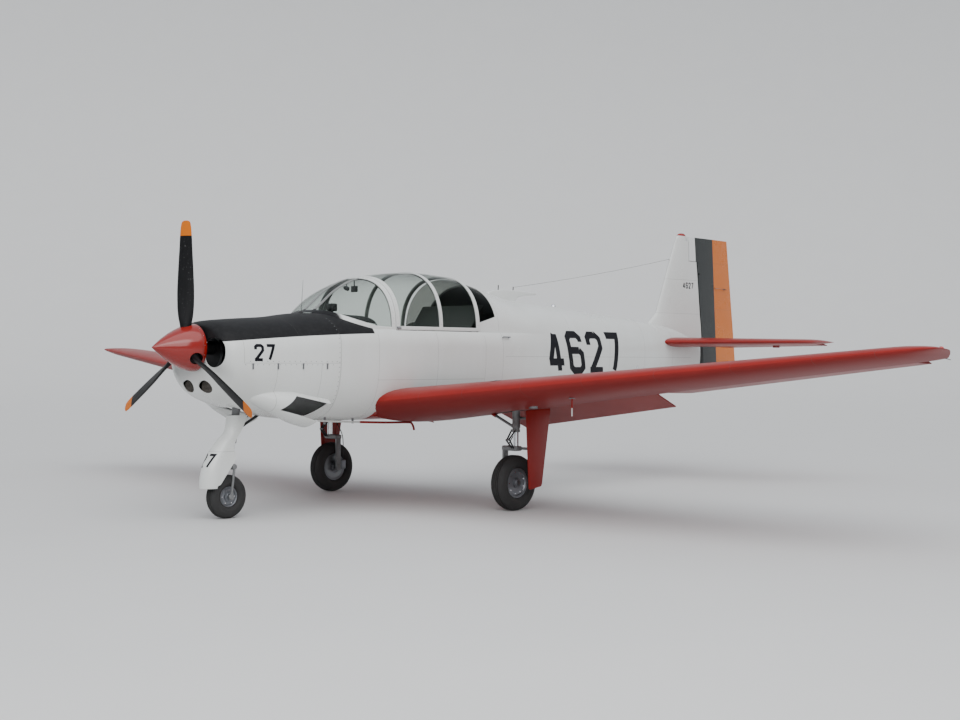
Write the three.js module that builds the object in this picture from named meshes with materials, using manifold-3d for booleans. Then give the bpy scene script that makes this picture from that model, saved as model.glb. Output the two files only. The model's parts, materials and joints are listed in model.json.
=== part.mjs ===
// Side-by-side two-seat trainer aircraft: low wing, three-blade propeller, sliding bubble canopy,
// tricycle undercarriage, parked with its split flaps lowered.
// Millimetres. +X runs to the nose, +Y to the port (left) wing tip, +Z up.
// The ground is z = 0 and x = 0 is the middle of the 8.6 m length.
import * as THREE from 'three';
import { mergeVertices } from 'three/addons/utils/BufferGeometryUtils.js';
import Module from 'manifold-3d';

const wasm = await Module();
wasm.setup();

// Driving dimensions
const touchGap = 0.3;          // between pieces that rest on each other
const runGap = 6;              // between a moving piece and what it passes
const seamCowl = 2742;         // firewall station
const seamTail = 640;          // joint of the cabin and the tail cone
const tailEnd = -3500;
const skin = 10;
const cabinSkin = 26;
const floorHeight = 1000;
const sillHeight = 1655;
const canopyBase = 1661;
const canopyHalf = 540;
const canopyFront = 2046;
const canopyRear = 940;
const canopyRound = 2.4;
const archSteps = 12;
const glassThick = 8;
const frameProud = 6;
const deckCrown = 2206;         // top of the tunnel that the open canopy needs over the rear deck
const deckRear = 60;
const deckFront = 990;
const deckGap = 12;             // between the open canopy's glass and the rear deck

const rootStation = 500;       // wing stations, along Y
const rootLead = 2260;
const rootTrail = 260;
const leadSlope = -0.1603;
const trailSlope = 0.0745;
const rootLeadHeight = 1000;
const dihedral = 0.0986;
const incidence = 3 * Math.PI / 180;
const wingThickness = 0.15;

const propellerX = 3970;
const thrustHeight = 1480;
const bladeRadius = 1078;
const spinnerBase = 3893;
const spinnerTip = 4304;
const spinnerRadius = 203;
const spinnerPoint = 1.65;       // power of the spinner's taper towards its point

const mainAxle = { x: 1264, y: 1298, z: 255, tyre: 255, width: 165, rim: 104, pin: 18 };
const noseAxle = { x: 3545, z: 190, tyre: 190, width: 130, rim: 76, pin: 14 };
const strutTop = new THREE.Vector3(3440, 0, 960);
const strutFoot = new THREE.Vector3(3525, 0, 380);

const paint = {
  white: new THREE.MeshStandardMaterial({ color: 0xd9dcda, roughness: 0.4, metalness: 0.1 }),
  red: new THREE.MeshStandardMaterial({ color: 0xb5231b, roughness: 0.3, metalness: 0.1 }),
  black: new THREE.MeshStandardMaterial({ color: 0x161616, roughness: 0.6, metalness: 0.0 }),
  rubber: new THREE.MeshStandardMaterial({ color: 0x1b1b1c, roughness: 0.85, metalness: 0.0 }),
  steel: new THREE.MeshStandardMaterial({ color: 0x8d9296, roughness: 0.35, metalness: 0.9 }),
  alloy: new THREE.MeshStandardMaterial({ color: 0x6f7276, roughness: 0.5, metalness: 0.7 }),
  iron: new THREE.MeshStandardMaterial({ color: 0x4a4c4e, roughness: 0.7, metalness: 0.6 }),
  glass: new THREE.MeshStandardMaterial({ color: 0xc8d4d6, roughness: 0.05, transparent: true, opacity: 0.3 }),
  seat: new THREE.MeshStandardMaterial({ color: 0x33363a, roughness: 0.9, metalness: 0.0 }),
  ochre: new THREE.MeshStandardMaterial({ color: 0xc9731d, roughness: 0.5, metalness: 0.0 }),
};

const aircraft = new THREE.Group();
aircraft.name = 'trainer_aircraft';

// Solids and booleans
const at = (x, y, z) => new THREE.Vector3(x, y, z);
const mix = (a, b, t) => a + (b - a) * t;
const power = (value, exponent) => Math.sign(value) * Math.abs(value) ** exponent;

function solidFrom(geometry, matrix = new THREE.Matrix4()) {
  const bare = geometry.clone();
  for (const name of Object.keys(bare.attributes)) if (name !== 'position') bare.deleteAttribute(name);
  bare.applyMatrix4(matrix);
  const merged = mergeVertices(bare, 1e-4);
  let triangles = Uint32Array.from(merged.index.array);
  const place = merged.attributes.position;
  let volume = 0;
  const [a, b, c] = [at(), at(), at()];
  for (let i = 0; i < triangles.length; i += 3) {
    a.fromBufferAttribute(place, triangles[i]);
    b.fromBufferAttribute(place, triangles[i + 1]);
    c.fromBufferAttribute(place, triangles[i + 2]);
    volume += a.dot(b.cross(c));
  }
  if (volume < 0) triangles = triangles.map((_, i, all) => all[i - (i % 3) + [0, 2, 1][i % 3]]);
  const mesh = new wasm.Mesh({ numProp: 3, vertProperties: Float32Array.from(place.array), triVerts: triangles });
  return new wasm.Manifold(mesh);
}

function addPiece(name, solid, material, parent = aircraft) {
  const { vertProperties, triVerts, numProp } = solid.getMesh();
  const points = new Float32Array(vertProperties.length / numProp * 3);
  for (let i = 0; i < points.length / 3; i++) {
    for (let j = 0; j < 3; j++) points[3 * i + j] = vertProperties[numProp * i + j];
  }
  const geometry = new THREE.BufferGeometry();
  geometry.setAttribute('position', new THREE.BufferAttribute(points, 3));
  geometry.setIndex(new THREE.BufferAttribute(Uint32Array.from(triVerts), 1));
  geometry.computeVertexNormals();
  const mesh = new THREE.Mesh(geometry, material);
  mesh.name = name;
  parent.add(mesh);
  return mesh;
}

// Closed loft through rings of equal point counts, with fan caps
function loft(rings) {
  const count = rings[0].length;
  const points = rings.flat();
  const faces = [];
  for (let i = 0; i + 1 < rings.length; i++) {
    for (let j = 0; j < count; j++) {
      const next = (j + 1) % count;
      const [a, b, c, d] = [i * count + j, i * count + next, (i + 1) * count + next, (i + 1) * count + j];
      faces.push(a, b, c, a, c, d);
    }
  }
  for (const [ring, turned] of [[0, true], [rings.length - 1, false]]) {
    const centre = points.length;
    points.push(rings[ring].reduce((sum, p) => sum.add(p), at(0, 0, 0)).divideScalar(count));
    for (let j = 0; j < count; j++) {
      const [a, b] = [ring * count + j, ring * count + (j + 1) % count];
      faces.push(centre, ...(turned ? [b, a] : [a, b]));
    }
  }
  const geometry = new THREE.BufferGeometry().setFromPoints(points);
  geometry.setIndex(faces);
  return solidFrom(geometry);
}

function box(x0, x1, y0, y1, z0, z1) {
  const geometry = new THREE.BoxGeometry(x1 - x0, y1 - y0, z1 - z0);
  return solidFrom(geometry, new THREE.Matrix4().makeTranslation((x0 + x1) / 2, (y0 + y1) / 2, (z0 + z1) / 2));
}

function tube(from, to, radius, sides = 16, radiusTo = radius) {
  const along = to.clone().sub(from);
  const geometry = new THREE.CylinderGeometry(radiusTo, radius, along.length(), sides);
  const turn = new THREE.Quaternion().setFromUnitVectors(at(0, 1, 0), along.clone().normalize());
  const middle = from.clone().add(to).multiplyScalar(0.5);
  return solidFrom(geometry, new THREE.Matrix4().compose(middle, turn, at(1, 1, 1)));
}

// Lathe of [radius, distance along the axis] points about a line along Y or X
function turned(profile, centre, axis, sides) {
  const geometry = new THREE.LatheGeometry(profile.map(([r, h]) => new THREE.Vector2(r, h)), sides);
  const turn = new THREE.Quaternion().setFromUnitVectors(at(0, 1, 0), axis);
  return solidFrom(geometry, new THREE.Matrix4().compose(centre, turn, at(1, 1, 1)));
}

function extruded(outline, y0, y1) {
  const shape = new THREE.Shape(outline.map(([x, z]) => new THREE.Vector2(x, z)));
  const geometry = new THREE.ExtrudeGeometry(shape, { depth: y1 - y0, bevelEnabled: false });
  const matrix = new THREE.Matrix4().makeRotationX(Math.PI / 2).setPosition(0, y1, 0);
  return solidFrom(geometry, matrix);
}

const union = (...solids) => solids.reduce((sum, solid) => sum.add(solid));
const mirrored = (solid) => solid.mirror([0, 1, 0]);

function swung(solid, pivot, axis, degrees) {
  const turn = new THREE.Matrix4().makeRotationAxis(axis.clone().normalize(), degrees * Math.PI / 180);
  const matrix = new THREE.Matrix4().makeTranslation(pivot.x, pivot.y, pivot.z)
    .multiply(turn)
    .multiply(new THREE.Matrix4().makeTranslation(-pivot.x, -pivot.y, -pivot.z));
  return solid.transform(matrix.elements);
}

// Fuselage frames: x, crown, shoulder (where the side curve would meet the centre line), bottom,
// half width, height of the widest line, roundness of the deck, of the side curve and of the underside
const frames = [
  [3870, 1665, 1665, 1190, 330, 1440, 2.2, 2.2, 2.2],
  [3845, 1690, 1690, 1115, 405, 1425, 2.3, 2.3, 2.3],
  [3780, 1712, 1712, 1050, 460, 1410, 2.4, 2.4, 2.4],
  [3550, 1735, 1735, 960, 515, 1410, 2.4, 2.4, 2.5],
  [3130, 1763, 1763, 870, 555, 1445, 2.4, 2.4, 2.7],
  [2742, 1806, 1806, 832, 588, 1490, 2.4, 2.4, 2.9],
  [2300, 1812, 1812, 818, 600, 1500, 2.4, 2.4, 3.1],
  [1500, 1812, 1812, 815, 604, 1500, 2.4, 2.4, 3.1],
  [deckFront, 1812, 1812, 819, 598, 1500, 2.4, 2.4, 3.0],
  [canopyRear - 1, 2188, 1813, 820, 596, 1500, 2.2, 2.4, 3.0],
  [615, 2130, 1846, 828, 580, 1490, 2.05, 2.3, 2.9],
  [340, 2066, 1900, 840, 560, 1485, 2.0, 2.2, 2.8],
  [deckRear, 2016, 2016, 856, 532, 1480, 1.9, 2.2, 2.7],
  [-560, 1979, 1979, 900, 462, 1475, 2.2, 2.2, 2.5],
  [-1300, 1920, 1920, 962, 382, 1475, 2.2, 2.2, 2.4],
  [-2280, 1846, 1846, 1056, 260, 1470, 2.2, 2.2, 2.2],
  [-2900, 1780, 1780, 1122, 165, 1480, 2.1, 2.1, 2.1],
  [-3300, 1720, 1720, 1170, 92, 1480, 2, 2, 2],
  [tailEnd, 1690, 1690, 1195, 58, 1470, 2, 2, 2],
];
const splitShare = 0.4427;     // how far up the side curve the deck begins, where no sill sets it

function frameAt(x) {
  const after = frames.findIndex((frame) => frame[0] <= x);
  const [a, b] = [frames[Math.max(after - 1, 0)], frames[Math.max(after, 1)]];
  return a.map((value, i) => mix(value, b[i], (x - a[0]) / (b[0] - a[0])));
}

// Points [y, z] of a curve |y|^n + |z|^n = 1, stretched, between two angles in quarter turns
function bow(width, base, reach, round, from, to, count) {
  return Array.from({ length: count }, (_, i) => {
    const angle = mix(from, to, i / count) * Math.PI / 2;
    return [width * power(Math.cos(angle), 2 / round), base + reach * power(Math.sin(angle), 2 / round)];
  });
}

// A frame's outline: side curve up to the sill line, deck over it, underside below
function frameRing([x, crown, shoulder, bottom, half, middle, deckRound, sideRound, lowerRound], grow) {
  const decked = x >= deckRear && x < deckFront;
  const reach = shoulder - middle + grow;
  const split = decked ? sillHeight : mix(middle, shoulder, splitShare);
  const turn = Math.asin(((split - middle) / reach) ** (sideRound / 2)) / (Math.PI / 2);
  const side = bow(half + grow, middle, reach, sideRound, 0, turn, 3);
  const width = (half + grow) * power(Math.cos(turn * Math.PI / 2), 2 / sideRound);
  const deck = decked
    ? bow(width, split, crown + grow - split, deckRound, 0, 1, 4)
    : bow(half + grow, middle, reach, sideRound, turn, 1, 4);
  const under = bow(half + grow, middle, bottom - middle - grow, lowerRound, 0, 1, 6).slice(1);
  const upper = [...side, ...deck];
  const port = [...upper, [0, decked ? crown + grow : middle + reach]];
  const starboard = [...upper].reverse().map(([y, z]) => [-y, z]);
  const keel = [...under.map(([y, z]) => [-y, z]), [0, bottom - grow], ...[...under].reverse()];
  return [...port, ...starboard, ...keel].map(([y, z]) => at(x, y, z));
}

function hull(front, rear, grow = 0) {
  const between = frames.filter(([x]) => x < front && x > rear);
  return loft([frameAt(front), ...between, frameAt(rear)].map((frame) => frameRing(frame, grow)));
}

// Canopy arches: x, height of the crown, half width at the sill
const arches = [
  [2660, 1812, 210],
  [2640, 1830, 310],
  [2590, 1867, 415],
  [2520, 1922, 470],
  [2440, 1988, 505],
  [2360, 2040, 528],
  [2260, 2090, canopyHalf],
  [2064, 2155, canopyHalf],
  [1900, 2188, canopyHalf],
  [1620, 2222, canopyHalf],
  [1340, 2232, canopyHalf],
  [1100, 2220, canopyHalf],
  [canopyRear, 2203, canopyHalf],
];

function archAt(x) {
  const after = Math.max(arches.findIndex((arch) => arch[0] <= x), 1);
  const [a, b] = [arches[after - 1], arches[after]];
  return a.map((value, i) => mix(value, b[i], (x - a[0]) / (b[0] - a[0])));
}

function archSolid(front, rear, grow, base) {
  const inside = arches.filter(([x]) => x < front && x > rear);
  const rings = [archAt(front), ...inside, archAt(rear)].map(([x, crown, half]) => {
    const arc = Array.from({ length: archSteps + 1 }, (_, i) => {
      const angle = Math.PI * i / archSteps;
      const round = 2 / canopyRound;
      const reach = crown + grow - canopyBase;
      return at(x, (half + grow) * power(Math.cos(angle), round), canopyBase + reach * power(Math.sin(angle), round));
    });
    return [...arc, at(x, -half - grow, base), at(x, half + grow, base)];
  });
  return loft(rings);
}

// Everything beside and over the tunnel that the sliding canopy sweeps above the rear deck.
// An inset grows it inward, for the hollow of a shell that keeps a wall along the cut.
function deckTrim(inset = 0, drop = 0) {
  const inner = canopyHalf - glassThick - deckGap - inset;
  const ledge = sillHeight - inset - drop;
  const ring = (x) => {
    const arc = Array.from({ length: archSteps + 1 }, (_, i) => {
      const angle = Math.PI * i / archSteps;
      const round = 2 / canopyRound;
      const reach = deckCrown - inset - canopyBase;
      return at(x, inner * power(Math.cos(angle), round), canopyBase + reach * power(Math.sin(angle), round));
    });
    return [...arc, at(x, -inner, ledge - 80), at(x, inner, ledge - 80)];
  };
  return box(deckRear - inset, canopyRear + 10, -700, 700, ledge, 2400).subtract(loft([ring(canopyRear + 20), ring(deckRear - 30)]));
}

const fullHull = hull(3870, tailEnd);
const grownHull = hull(3870, tailEnd, touchGap);

// Engine cowl: a hollow shell with cheek and chin inlets, a nose-leg bay and an open rear
const cheek = { y: 266, z: 1440, wide: 136, tall: 125 };
const chin = { y: 150, z: 1165, radius: 48 };

// Outlet bulge low on each side: x, distance from the centre, height, half width, half height
const outletStations = [
  [3560, 330, 1075, 50, 45],
  [3440, 375, 1045, 105, 85],
  [3300, 410, 1005, 140, 120],
  [3150, 425, 965, 152, 146],
  [2980, 425, 930, 150, 150],
  [seamCowl + touchGap, 415, 910, 140, 135],
];
const outletMouth = [[3200, 1069], [2819, 992], [2977, 846], [3351, 951]];

function outletBulge(grow = 0) {
  return loft(outletStations.map(([x, y, z, wide, tall]) => Array.from({ length: 16 }, (_, i) => {
    const angle = 2 * Math.PI * i / 16;
    return at(x, y + (wide + grow) * Math.cos(angle), z + (tall + grow) * Math.sin(angle));
  })));
}

function cowl() {
  const outside = [outletBulge(), mirrored(outletBulge())]
    .reduce((sum, bulge) => sum.add(bulge), hull(3870, seamCowl + touchGap));
  const inside = [outletBulge(-skin), mirrored(outletBulge(-skin))].map((bulge) => bulge.translate([-1, 0, 0]))
    .reduce((sum, bulge) => sum.add(bulge), hull(3842, seamCowl - 20, -skin));
  const mouth = extruded(outletMouth, 430, 800);
  const shell = outside.subtract(inside).subtract(mouth).subtract(mirrored(mouth));
  const inlet = (side) => loft([3900, 3770].map((x) => Array.from({ length: 20 }, (_, i) => {
    const angle = 2 * Math.PI * i / 20;
    return at(x, side * (cheek.y + cheek.wide * Math.cos(angle)), cheek.z + cheek.tall * Math.sin(angle));
  })));
  const crankHole = tube(at(3800, 0, thrustHeight), at(3900, 0, thrustHeight), 120, 20);
  const chinHole = (y) => tube(at(3700, y, chin.z), at(3900, y, chin.z), chin.radius, 16);
  const legBay = box(3340, 3560, -130, 130, 800, 1060);
  return [inlet(1), inlet(-1), crankHole, chinHole(chin.y), chinHole(-chin.y), legBay]
    .reduce((rest, hole) => rest.subtract(hole), shell);
}

// Flat-six engine as one block on its four-tube mount
function engine() {
  const block = box(2960, 3720, -385, 385, 1250, 1570);
  const sump = box(3000, 3560, -170, 170, 1130, 1260);
  const shaft = tube(at(3700, 0, thrustHeight), at(spinnerBase - touchGap, 0, thrustHeight), 60, 20);
  const mounts = [[1, 1], [1, -1], [-1, 1], [-1, -1]].map(([y, z]) => tube(
    at(seamCowl - 20, y * 330, 1400 + z * 180), at(3000, y * 250, 1410 + z * 140), 18, 10));
  return union(block, sump, shaft, ...mounts).intersect(box(seamCowl + touchGap, 4000, -600, 600, 1000, 1800));
}

// Cabin tub: open above the sills, with a firewall and a floor over the wing spar
function cabin() {
  const opening = union(
    box(seamTail - 10, canopyFront + 4, -700, 700, sillHeight, 2400),
    archSolid(2600, canopyFront + 4, -24, sillHeight).translate([-24, 0, 0]),
  );
  const outer = hull(seamCowl - touchGap, seamTail + touchGap).subtract(opening);
  const room = hull(seamCowl - 18, seamTail - 10, -cabinSkin).subtract(box(0, 3000, -700, 700, 500, floorHeight));
  const rearDeck = hull(canopyRear - 1, seamTail + touchGap).subtract(deckTrim())
    .intersect(box(seamTail, canopyRear - 7, -700, 700, sillHeight - skin, 2400))
    .subtract(rearWindow(1)).subtract(hull(canopyRear + 10, seamTail - 20, -skin).subtract(deckTrim(skin)));
  return outer.subtract(room).add(rearDeck);
}

// Space of the fixed rear window between the canopy and the seam
function rearWindow(gap) {
  const outline = [[1000, 1745], [933, 1745], [672, 1812], [666, 2000], [662, 2300], [1000, 2300]];
  return extruded(outline, -600, 600).translate([gap * touchGap, 0, 0]);
}

function tailCone() {
  const outer = hull(seamTail, tailEnd).subtract(deckTrim(0, runGap));
  return outer.subtract(hull(seamTail + 20, -3200, -skin).subtract(deckTrim(skin, runGap)));
}

addPiece('cowl', cowl(), paint.white);
addPiece('engine_block', engine(), paint.iron);
addPiece('cabin_shell', cabin(), paint.white);

// Glazing: each pane is one curved shell, and its frame lies on the outside of it
const frameShell = (front, rear, base) => archSolid(front, rear, frameProud, base)
  .subtract(archSolid(front, rear, touchGap, base - 60));

function windshieldPane() {
  const rear = canopyFront + 8;
  const outer = archSolid(2660, rear, 0, sillHeight + touchGap);
  const inner = archSolid(2660, rear - 2, -glassThick, sillHeight - 60).translate([-14, 0, 0]);
  const rearInner = archSolid(2120, rear - 2, -glassThick, sillHeight - 60).translate([-10, 0, 0]);
  return outer.subtract(inner).subtract(rearInner).subtract(grownHullAhead());
}

function grownHullAhead(grow = touchGap) {
  return hull(3200, canopyFront, grow);
}

const windshieldBand = 48;
const post = { y: 75, half: 17 };
function windshieldFrame() {
  const shell = frameShell(2660, canopyFront + 6, sillHeight + touchGap).subtract(grownHullAhead());
  const mainArch = box(canopyFront + 6, canopyFront + 54, -600, 600, 1600, 2300);
  const posts = [1, -1].map((side) => box(canopyFront + 6, 2760, side * post.y - post.half, side * post.y + post.half, 1600, 2300));
  return shell.intersect(union(mainArch, ...posts, grownHullAhead(windshieldBand)));
}

function canopyPane() {
  const outer = archSolid(canopyFront - 4, canopyRear + 4, 0, canopyBase + 3);
  const inner = archSolid(canopyFront + 6, canopyRear, -glassThick, canopyBase - 60);
  return outer.subtract(inner);
}

const canopyBands = [[canopyFront - 46, canopyFront], [1445, 1487], [canopyRear, canopyRear + 46]];
function canopyFrame() {
  const shell = frameShell(canopyFront, canopyRear, canopyBase);
  const bands = canopyBands.map(([a, b]) => box(a, b, -600, 600, 1600, 2300));
  const rails = box(canopyRear, canopyFront, -600, 600, 1600, canopyBase + 34);
  const slab = (x, side, inner, outer, low, high) => box(x - 30, x + 30,
    Math.min(side * inner, side * outer), Math.max(side * inner, side * outer), low, high);
  const shoes = [1, -1].flatMap((side) => [1950, 1020].flatMap((x) => [
    slab(x, side, canopyHalf - 6, canopyHalf + 4, sillHeight + touchGap, canopyBase + 1),
    slab(x, side, canopyHalf - 3, canopyHalf + frameProud, canopyBase - 1, canopyBase + 2.7),
  ]));
  return union(shell.intersect(union(...bands, rails)), ...shoes);
}

function rearPane() {
  const front = canopyRear - 1;
  const hollow = hull(front + 11, 600, -glassThick).subtract(deckTrim(glassThick));
  const shell = hull(front, 610).subtract(deckTrim()).subtract(hollow);
  return shell.intersect(rearWindow(0).translate([touchGap * 2, 0, touchGap * 2])).intersect(box(610, front - 1, -600, 600, 1600, 2300));
}

addPiece('windshield_frame', windshieldFrame(), paint.white);
addPiece('windshield_glass', windshieldPane(), paint.glass);
addPiece('canopy_frame', canopyFrame(), paint.white);
addPiece('canopy_glass', canopyPane(), paint.glass);
addPiece('rear_window', rearPane(), paint.glass);

// Cabin fittings
function instrumentPanel() {
  const hood = archSolid(2560, 2260, -60, 1600).intersect(hull(2700, 2200, -30));
  const hollow = archSolid(2560, 2240, -80, 1500).intersect(hull(2700, 2200, -50)).intersect(box(2200, 2560, -600, 600, 1400, 2300));
  const board = box(2296, 2314, -600, 600, 1330, 1700).intersect(hull(2600, 2200, -cabinSkin - touchGap));
  return union(hood.subtract(hollow.translate([-10, 0, 0])), board);
}

function seat(side) {
  const middle = side * 236;
  const [y0, y1] = [middle - 205, middle + 205];
  const frame = box(1390, 1830, y0 + 40, y1 - 40, floorHeight + touchGap, 1110);
  const pan = box(1380, 1850, y0, y1, 1100, 1180);
  const back = extruded([[1390, 1110], [1470, 1130], [1330, 1700], [1240, 1700]], y0, y1);
  return union(frame, pan, back);
}

function controlSticks() {
  const bar = tube(at(2000, -270, 1030), at(2000, 270, 1030), 14, 10);
  const stick = (side) => union(
    tube(at(2000, side * 236, 1030), at(1960, side * 236, 1440), 12, 10),
    tube(at(1960, side * 236, 1400), at(1950, side * 236, 1500), 20, 10),
  );
  const foot = box(1985, 2015, -20, 20, floorHeight + touchGap, 1040);
  return union(bar, stick(1), stick(-1), foot);
}

addPiece('instrument_panel', instrumentPanel(), paint.black);
addPiece('seat_left', seat(1), paint.seat);
addPiece('seat_right', seat(-1), paint.seat);
addPiece('control_sticks', controlSticks(), paint.steel);

function rearShelf() {
  const lower = box(1010, 1024, -555, 555, floorHeight + touchGap, 1600);
  const slope = extruded([[1024, 1590], [1010, 1590], [760, 1930], [780, 1930]], -430, 430);
  return union(lower, slope).intersect(hull(2000, 400, -cabinSkin - touchGap));
}
addPiece('rear_bulkhead', rearShelf(), paint.seat);

// Aerofoil with a thick tail edge: list of [fraction of chord, height over chord], over then under
function halfHeight(thickness, f) {
  const bow = 0.2969 * Math.sqrt(f) - 0.126 * f - 0.3516 * f ** 2 + 0.2843 * f ** 3 - 0.1036 * f ** 4;
  return 5 * thickness * bow + 0.0035 * f;
}

function aerofoil(thickness, steps) {
  const half = (f) => halfHeight(thickness, f);
  const stops = Array.from({ length: steps + 1 }, (_, i) => (1 - Math.cos(Math.PI * i / steps)) / 2);
  const over = stops.map((f) => [f, half(f)]);
  const under = stops.slice(1).reverse().map((f) => [f, -half(f)]);
  return [...over, ...under];
}

// Wing stations: y, leading edge, trailing edge, thickness over chord
const leadAt = (y) => rootLead + leadSlope * (y - rootStation);
const trailAt = (y) => rootTrail + trailSlope * (y - rootStation);
const wingStations = [
  [330, leadAt(330), trailAt(330), wingThickness],
  [2620, leadAt(2620), trailAt(2620), 0.135],
  [5060, leadAt(5060), trailAt(5060), 0.12],
  [5200, leadAt(5200), 655, 0.12],
  [5320, leadAt(5320), 850, 0.12],
  [5420, leadAt(5420), 1050, 0.11],
  [5480, 1440, 1190, 0.1],
  [5500, 1400, 1260, 0.08],
];

function wingPoint(y, fraction, rise = 0) {
  const after = Math.max(wingStations.findIndex((station) => station[0] >= y), 1);
  const [a, b] = [wingStations[after - 1], wingStations[after]];
  const t = (y - a[0]) / (b[0] - a[0]);
  const [lead, trail] = [mix(a[1], b[1], t), mix(a[2], b[2], t)];
  const leadHeight = rootLeadHeight + dihedral * (y - rootStation);
  const back = fraction * (lead - trail);
  return at(lead - back * Math.cos(incidence), y, leadHeight - (leadAt(y) - lead + back) * Math.sin(incidence) + rise);
}

function wingHalfThickness(y, fraction) {
  const after = Math.max(wingStations.findIndex((station) => station[0] >= y), 1);
  const [a, b] = [wingStations[after - 1], wingStations[after]];
  const t = (y - a[0]) / (b[0] - a[0]);
  const chord = mix(a[1] - a[2], b[1] - b[2], t);
  return chord * halfHeight(mix(a[3], b[3], t), fraction);
}

const wholeWing = loft(wingStations.map(([y, lead, trail, thickness]) => aerofoil(thickness, 8)
  .map(([fraction, height]) => wingPoint(y, fraction, height * (lead - trail)))));

// Slab behind a hinge line, square to the line at both ends, from the line back and well over and under it
function behind(a, b, back, tall) {
  const axis = b.clone().sub(a).normalize();
  const aft = at(-1, 0, 0).addScaledVector(axis, axis.x).normalize().multiplyScalar(back);
  const over = axis.clone().cross(aft).setLength(tall);
  const ring = (p) => [p.clone().sub(over), p.clone().add(over), p.clone().add(over).add(aft), p.clone().sub(over).add(aft)];
  return loft([ring(a), ring(b)]);
}

const along = (a, b, distance) => b.clone().sub(a).setLength(distance);

// Aileron: nose round its hinge line, a pin at each end in the wing ribs
const aileronHinge = 0.76;
const aileronSpan = [2690, 5050];
const aileronDroop = 6;
const aileronLine = aileronSpan.map((y) => wingPoint(y, aileronHinge));
const aileronNose = aileronSpan.map((y) => wingHalfThickness(y, aileronHinge));
const hingePin = { radius: 8, hole: 8.7, depth: 16 };

function aileron() {
  const [a, b] = aileronLine;
  const blade = wholeWing.intersect(behind(a, b, 600, 200));
  const nose = tube(a, b, aileronNose[0] - 1, 16, aileronNose[1] - 1);
  const pins = tube(a.clone().sub(along(a, b, runGap + hingePin.depth)), b.clone().add(along(a, b, runGap + hingePin.depth)),
    hingePin.radius, 16);
  return union(blade, nose, pins);
}

function aileronBay() {
  const [a, b] = aileronLine;
  const reach = along(a, b, runGap);
  const [from, to] = [a.clone().sub(reach), b.clone().add(reach)];
  const hole = along(a, b, runGap + hingePin.depth + 1);
  return union(
    behind(from, to, 600, 200),
    tube(from, to, aileronNose[0] + runGap, 16, aileronNose[1] + runGap),
    tube(a.clone().sub(hole), b.clone().add(hole), hingePin.hole, 16),
  );
}

// Split flap: a flat plate under the trailing edge, hinged at its front edge
const flapStart = 0.77;
const flapEnd = 0.96;
const flapSpan = [640, 2560];
const flapPlate = 12;
const flapAngle = 29;
const flapHinge = flapSpan.map((y) => wingPoint(y, flapStart, -wingHalfThickness(y, flapStart) + flapPlate / 2));
const flapTail = flapSpan.map((y) => wingPoint(y, flapEnd, -wingHalfThickness(y, flapEnd) + flapPlate / 2));
const flapPin = { radius: 5, hole: 5.6, depth: 14 };

function flapRing(front, rear, under, over, y) {
  return [at(front.x, y, front.z - under), at(front.x, y, front.z + over),
    at(rear.x, y, rear.z + over), at(rear.x, y, rear.z - under)];
}

function flap() {
  const half = flapPlate / 2;
  const plate = loft([0, 1].map((i) => flapRing(flapHinge[i], flapTail[i], half, half, flapSpan[i])));
  const [a, b] = flapHinge;
  const edge = tube(a, b, half - 0.2, 12);
  const pins = tube(a.clone().sub(along(a, b, runGap + flapPin.depth)), b.clone().add(along(a, b, runGap + flapPin.depth)),
    flapPin.radius, 12);
  return union(plate, edge, pins);
}

function flapBay() {
  const half = flapPlate / 2;
  const [a, b] = flapHinge;
  const reach = along(a, b, runGap);
  const front = [a.clone().sub(reach).add(at(half + runGap, 0, 0)), b.clone().add(reach).add(at(half + runGap, 0, 0))];
  const rear = [flapTail[0].clone().add(at(-400, 0, 0)), flapTail[1].clone().add(at(-400, 0, 0))];
  const slope = [0, 1].map((i) => (flapTail[i].z - flapHinge[i].z) / (flapTail[i].x - flapHinge[i].x));
  rear.forEach((p, i) => { p.z = flapHinge[i].z + slope[i] * (p.x - flapHinge[i].x); });
  const recess = loft([0, 1].map((i) => flapRing(front[i], rear[i], 90, half + runGap, front[i].y)));
  const hole = along(a, b, runGap + flapPin.depth + 1);
  return union(recess, tube(a.clone().sub(hole), b.clone().add(hole), flapPin.hole, 12));
}

// Main leg well in the underside of the wing
function legWell() {
  return box(mainAxle.x - 75, mainAxle.x + 75, 1040, 1420, 700, 1075);
}

// Flat pad under the main spar for a jack
const jackPad = { x: 1500, y: 1750, z: 958, radius: 40 };
const padSolid = tube(at(jackPad.x, jackPad.y, 1010), at(jackPad.x, jackPad.y, jackPad.z), jackPad.radius, 20);

const wingPanel = wholeWing.subtract(aileronBay()).subtract(flapBay()).subtract(legWell()).add(padSolid);
const largest = (solid) => solid.decompose().sort((a, b) => b.volume() - a.volume())[0];
const aileronAxis = aileronLine[1].clone().sub(aileronLine[0]);
const flapAxis = flapHinge[1].clone().sub(flapHinge[0]);
const leftAileron = swung(aileron(), aileronLine[0], aileronAxis, -aileronDroop);
const rightAileron = swung(aileron(), aileronLine[0], aileronAxis, aileronDroop);
const leftFlap = swung(flap(), flapHinge[0], flapAxis, -flapAngle);

addPiece('wing_left', largest(wingPanel.subtract(grownHull)), paint.red);
addPiece('wing_right', largest(mirrored(wingPanel).subtract(grownHull)), paint.red);
addPiece('aileron_left', leftAileron, paint.red);
addPiece('aileron_right', mirrored(rightAileron), paint.red);
addPiece('flap_left', leftFlap, paint.red);
addPiece('flap_right', mirrored(leftFlap), paint.red);

// Tail surfaces. Tailplane stations: y, leading edge, trailing edge
const tailHeight = 1600;
const elevatorHinge = -3390;
const elevatorSpan = [150, 1700];
const elevatorDroop = 8;
const tailStations = [
  [20, -2480, -3800],
  [1700, -2965, -3655],
  [1800, -3010, -3600],
  [1860, -3075, -3520],
  [1880, -3170, -3430],
];
const tailThickness = 0.09;

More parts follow.
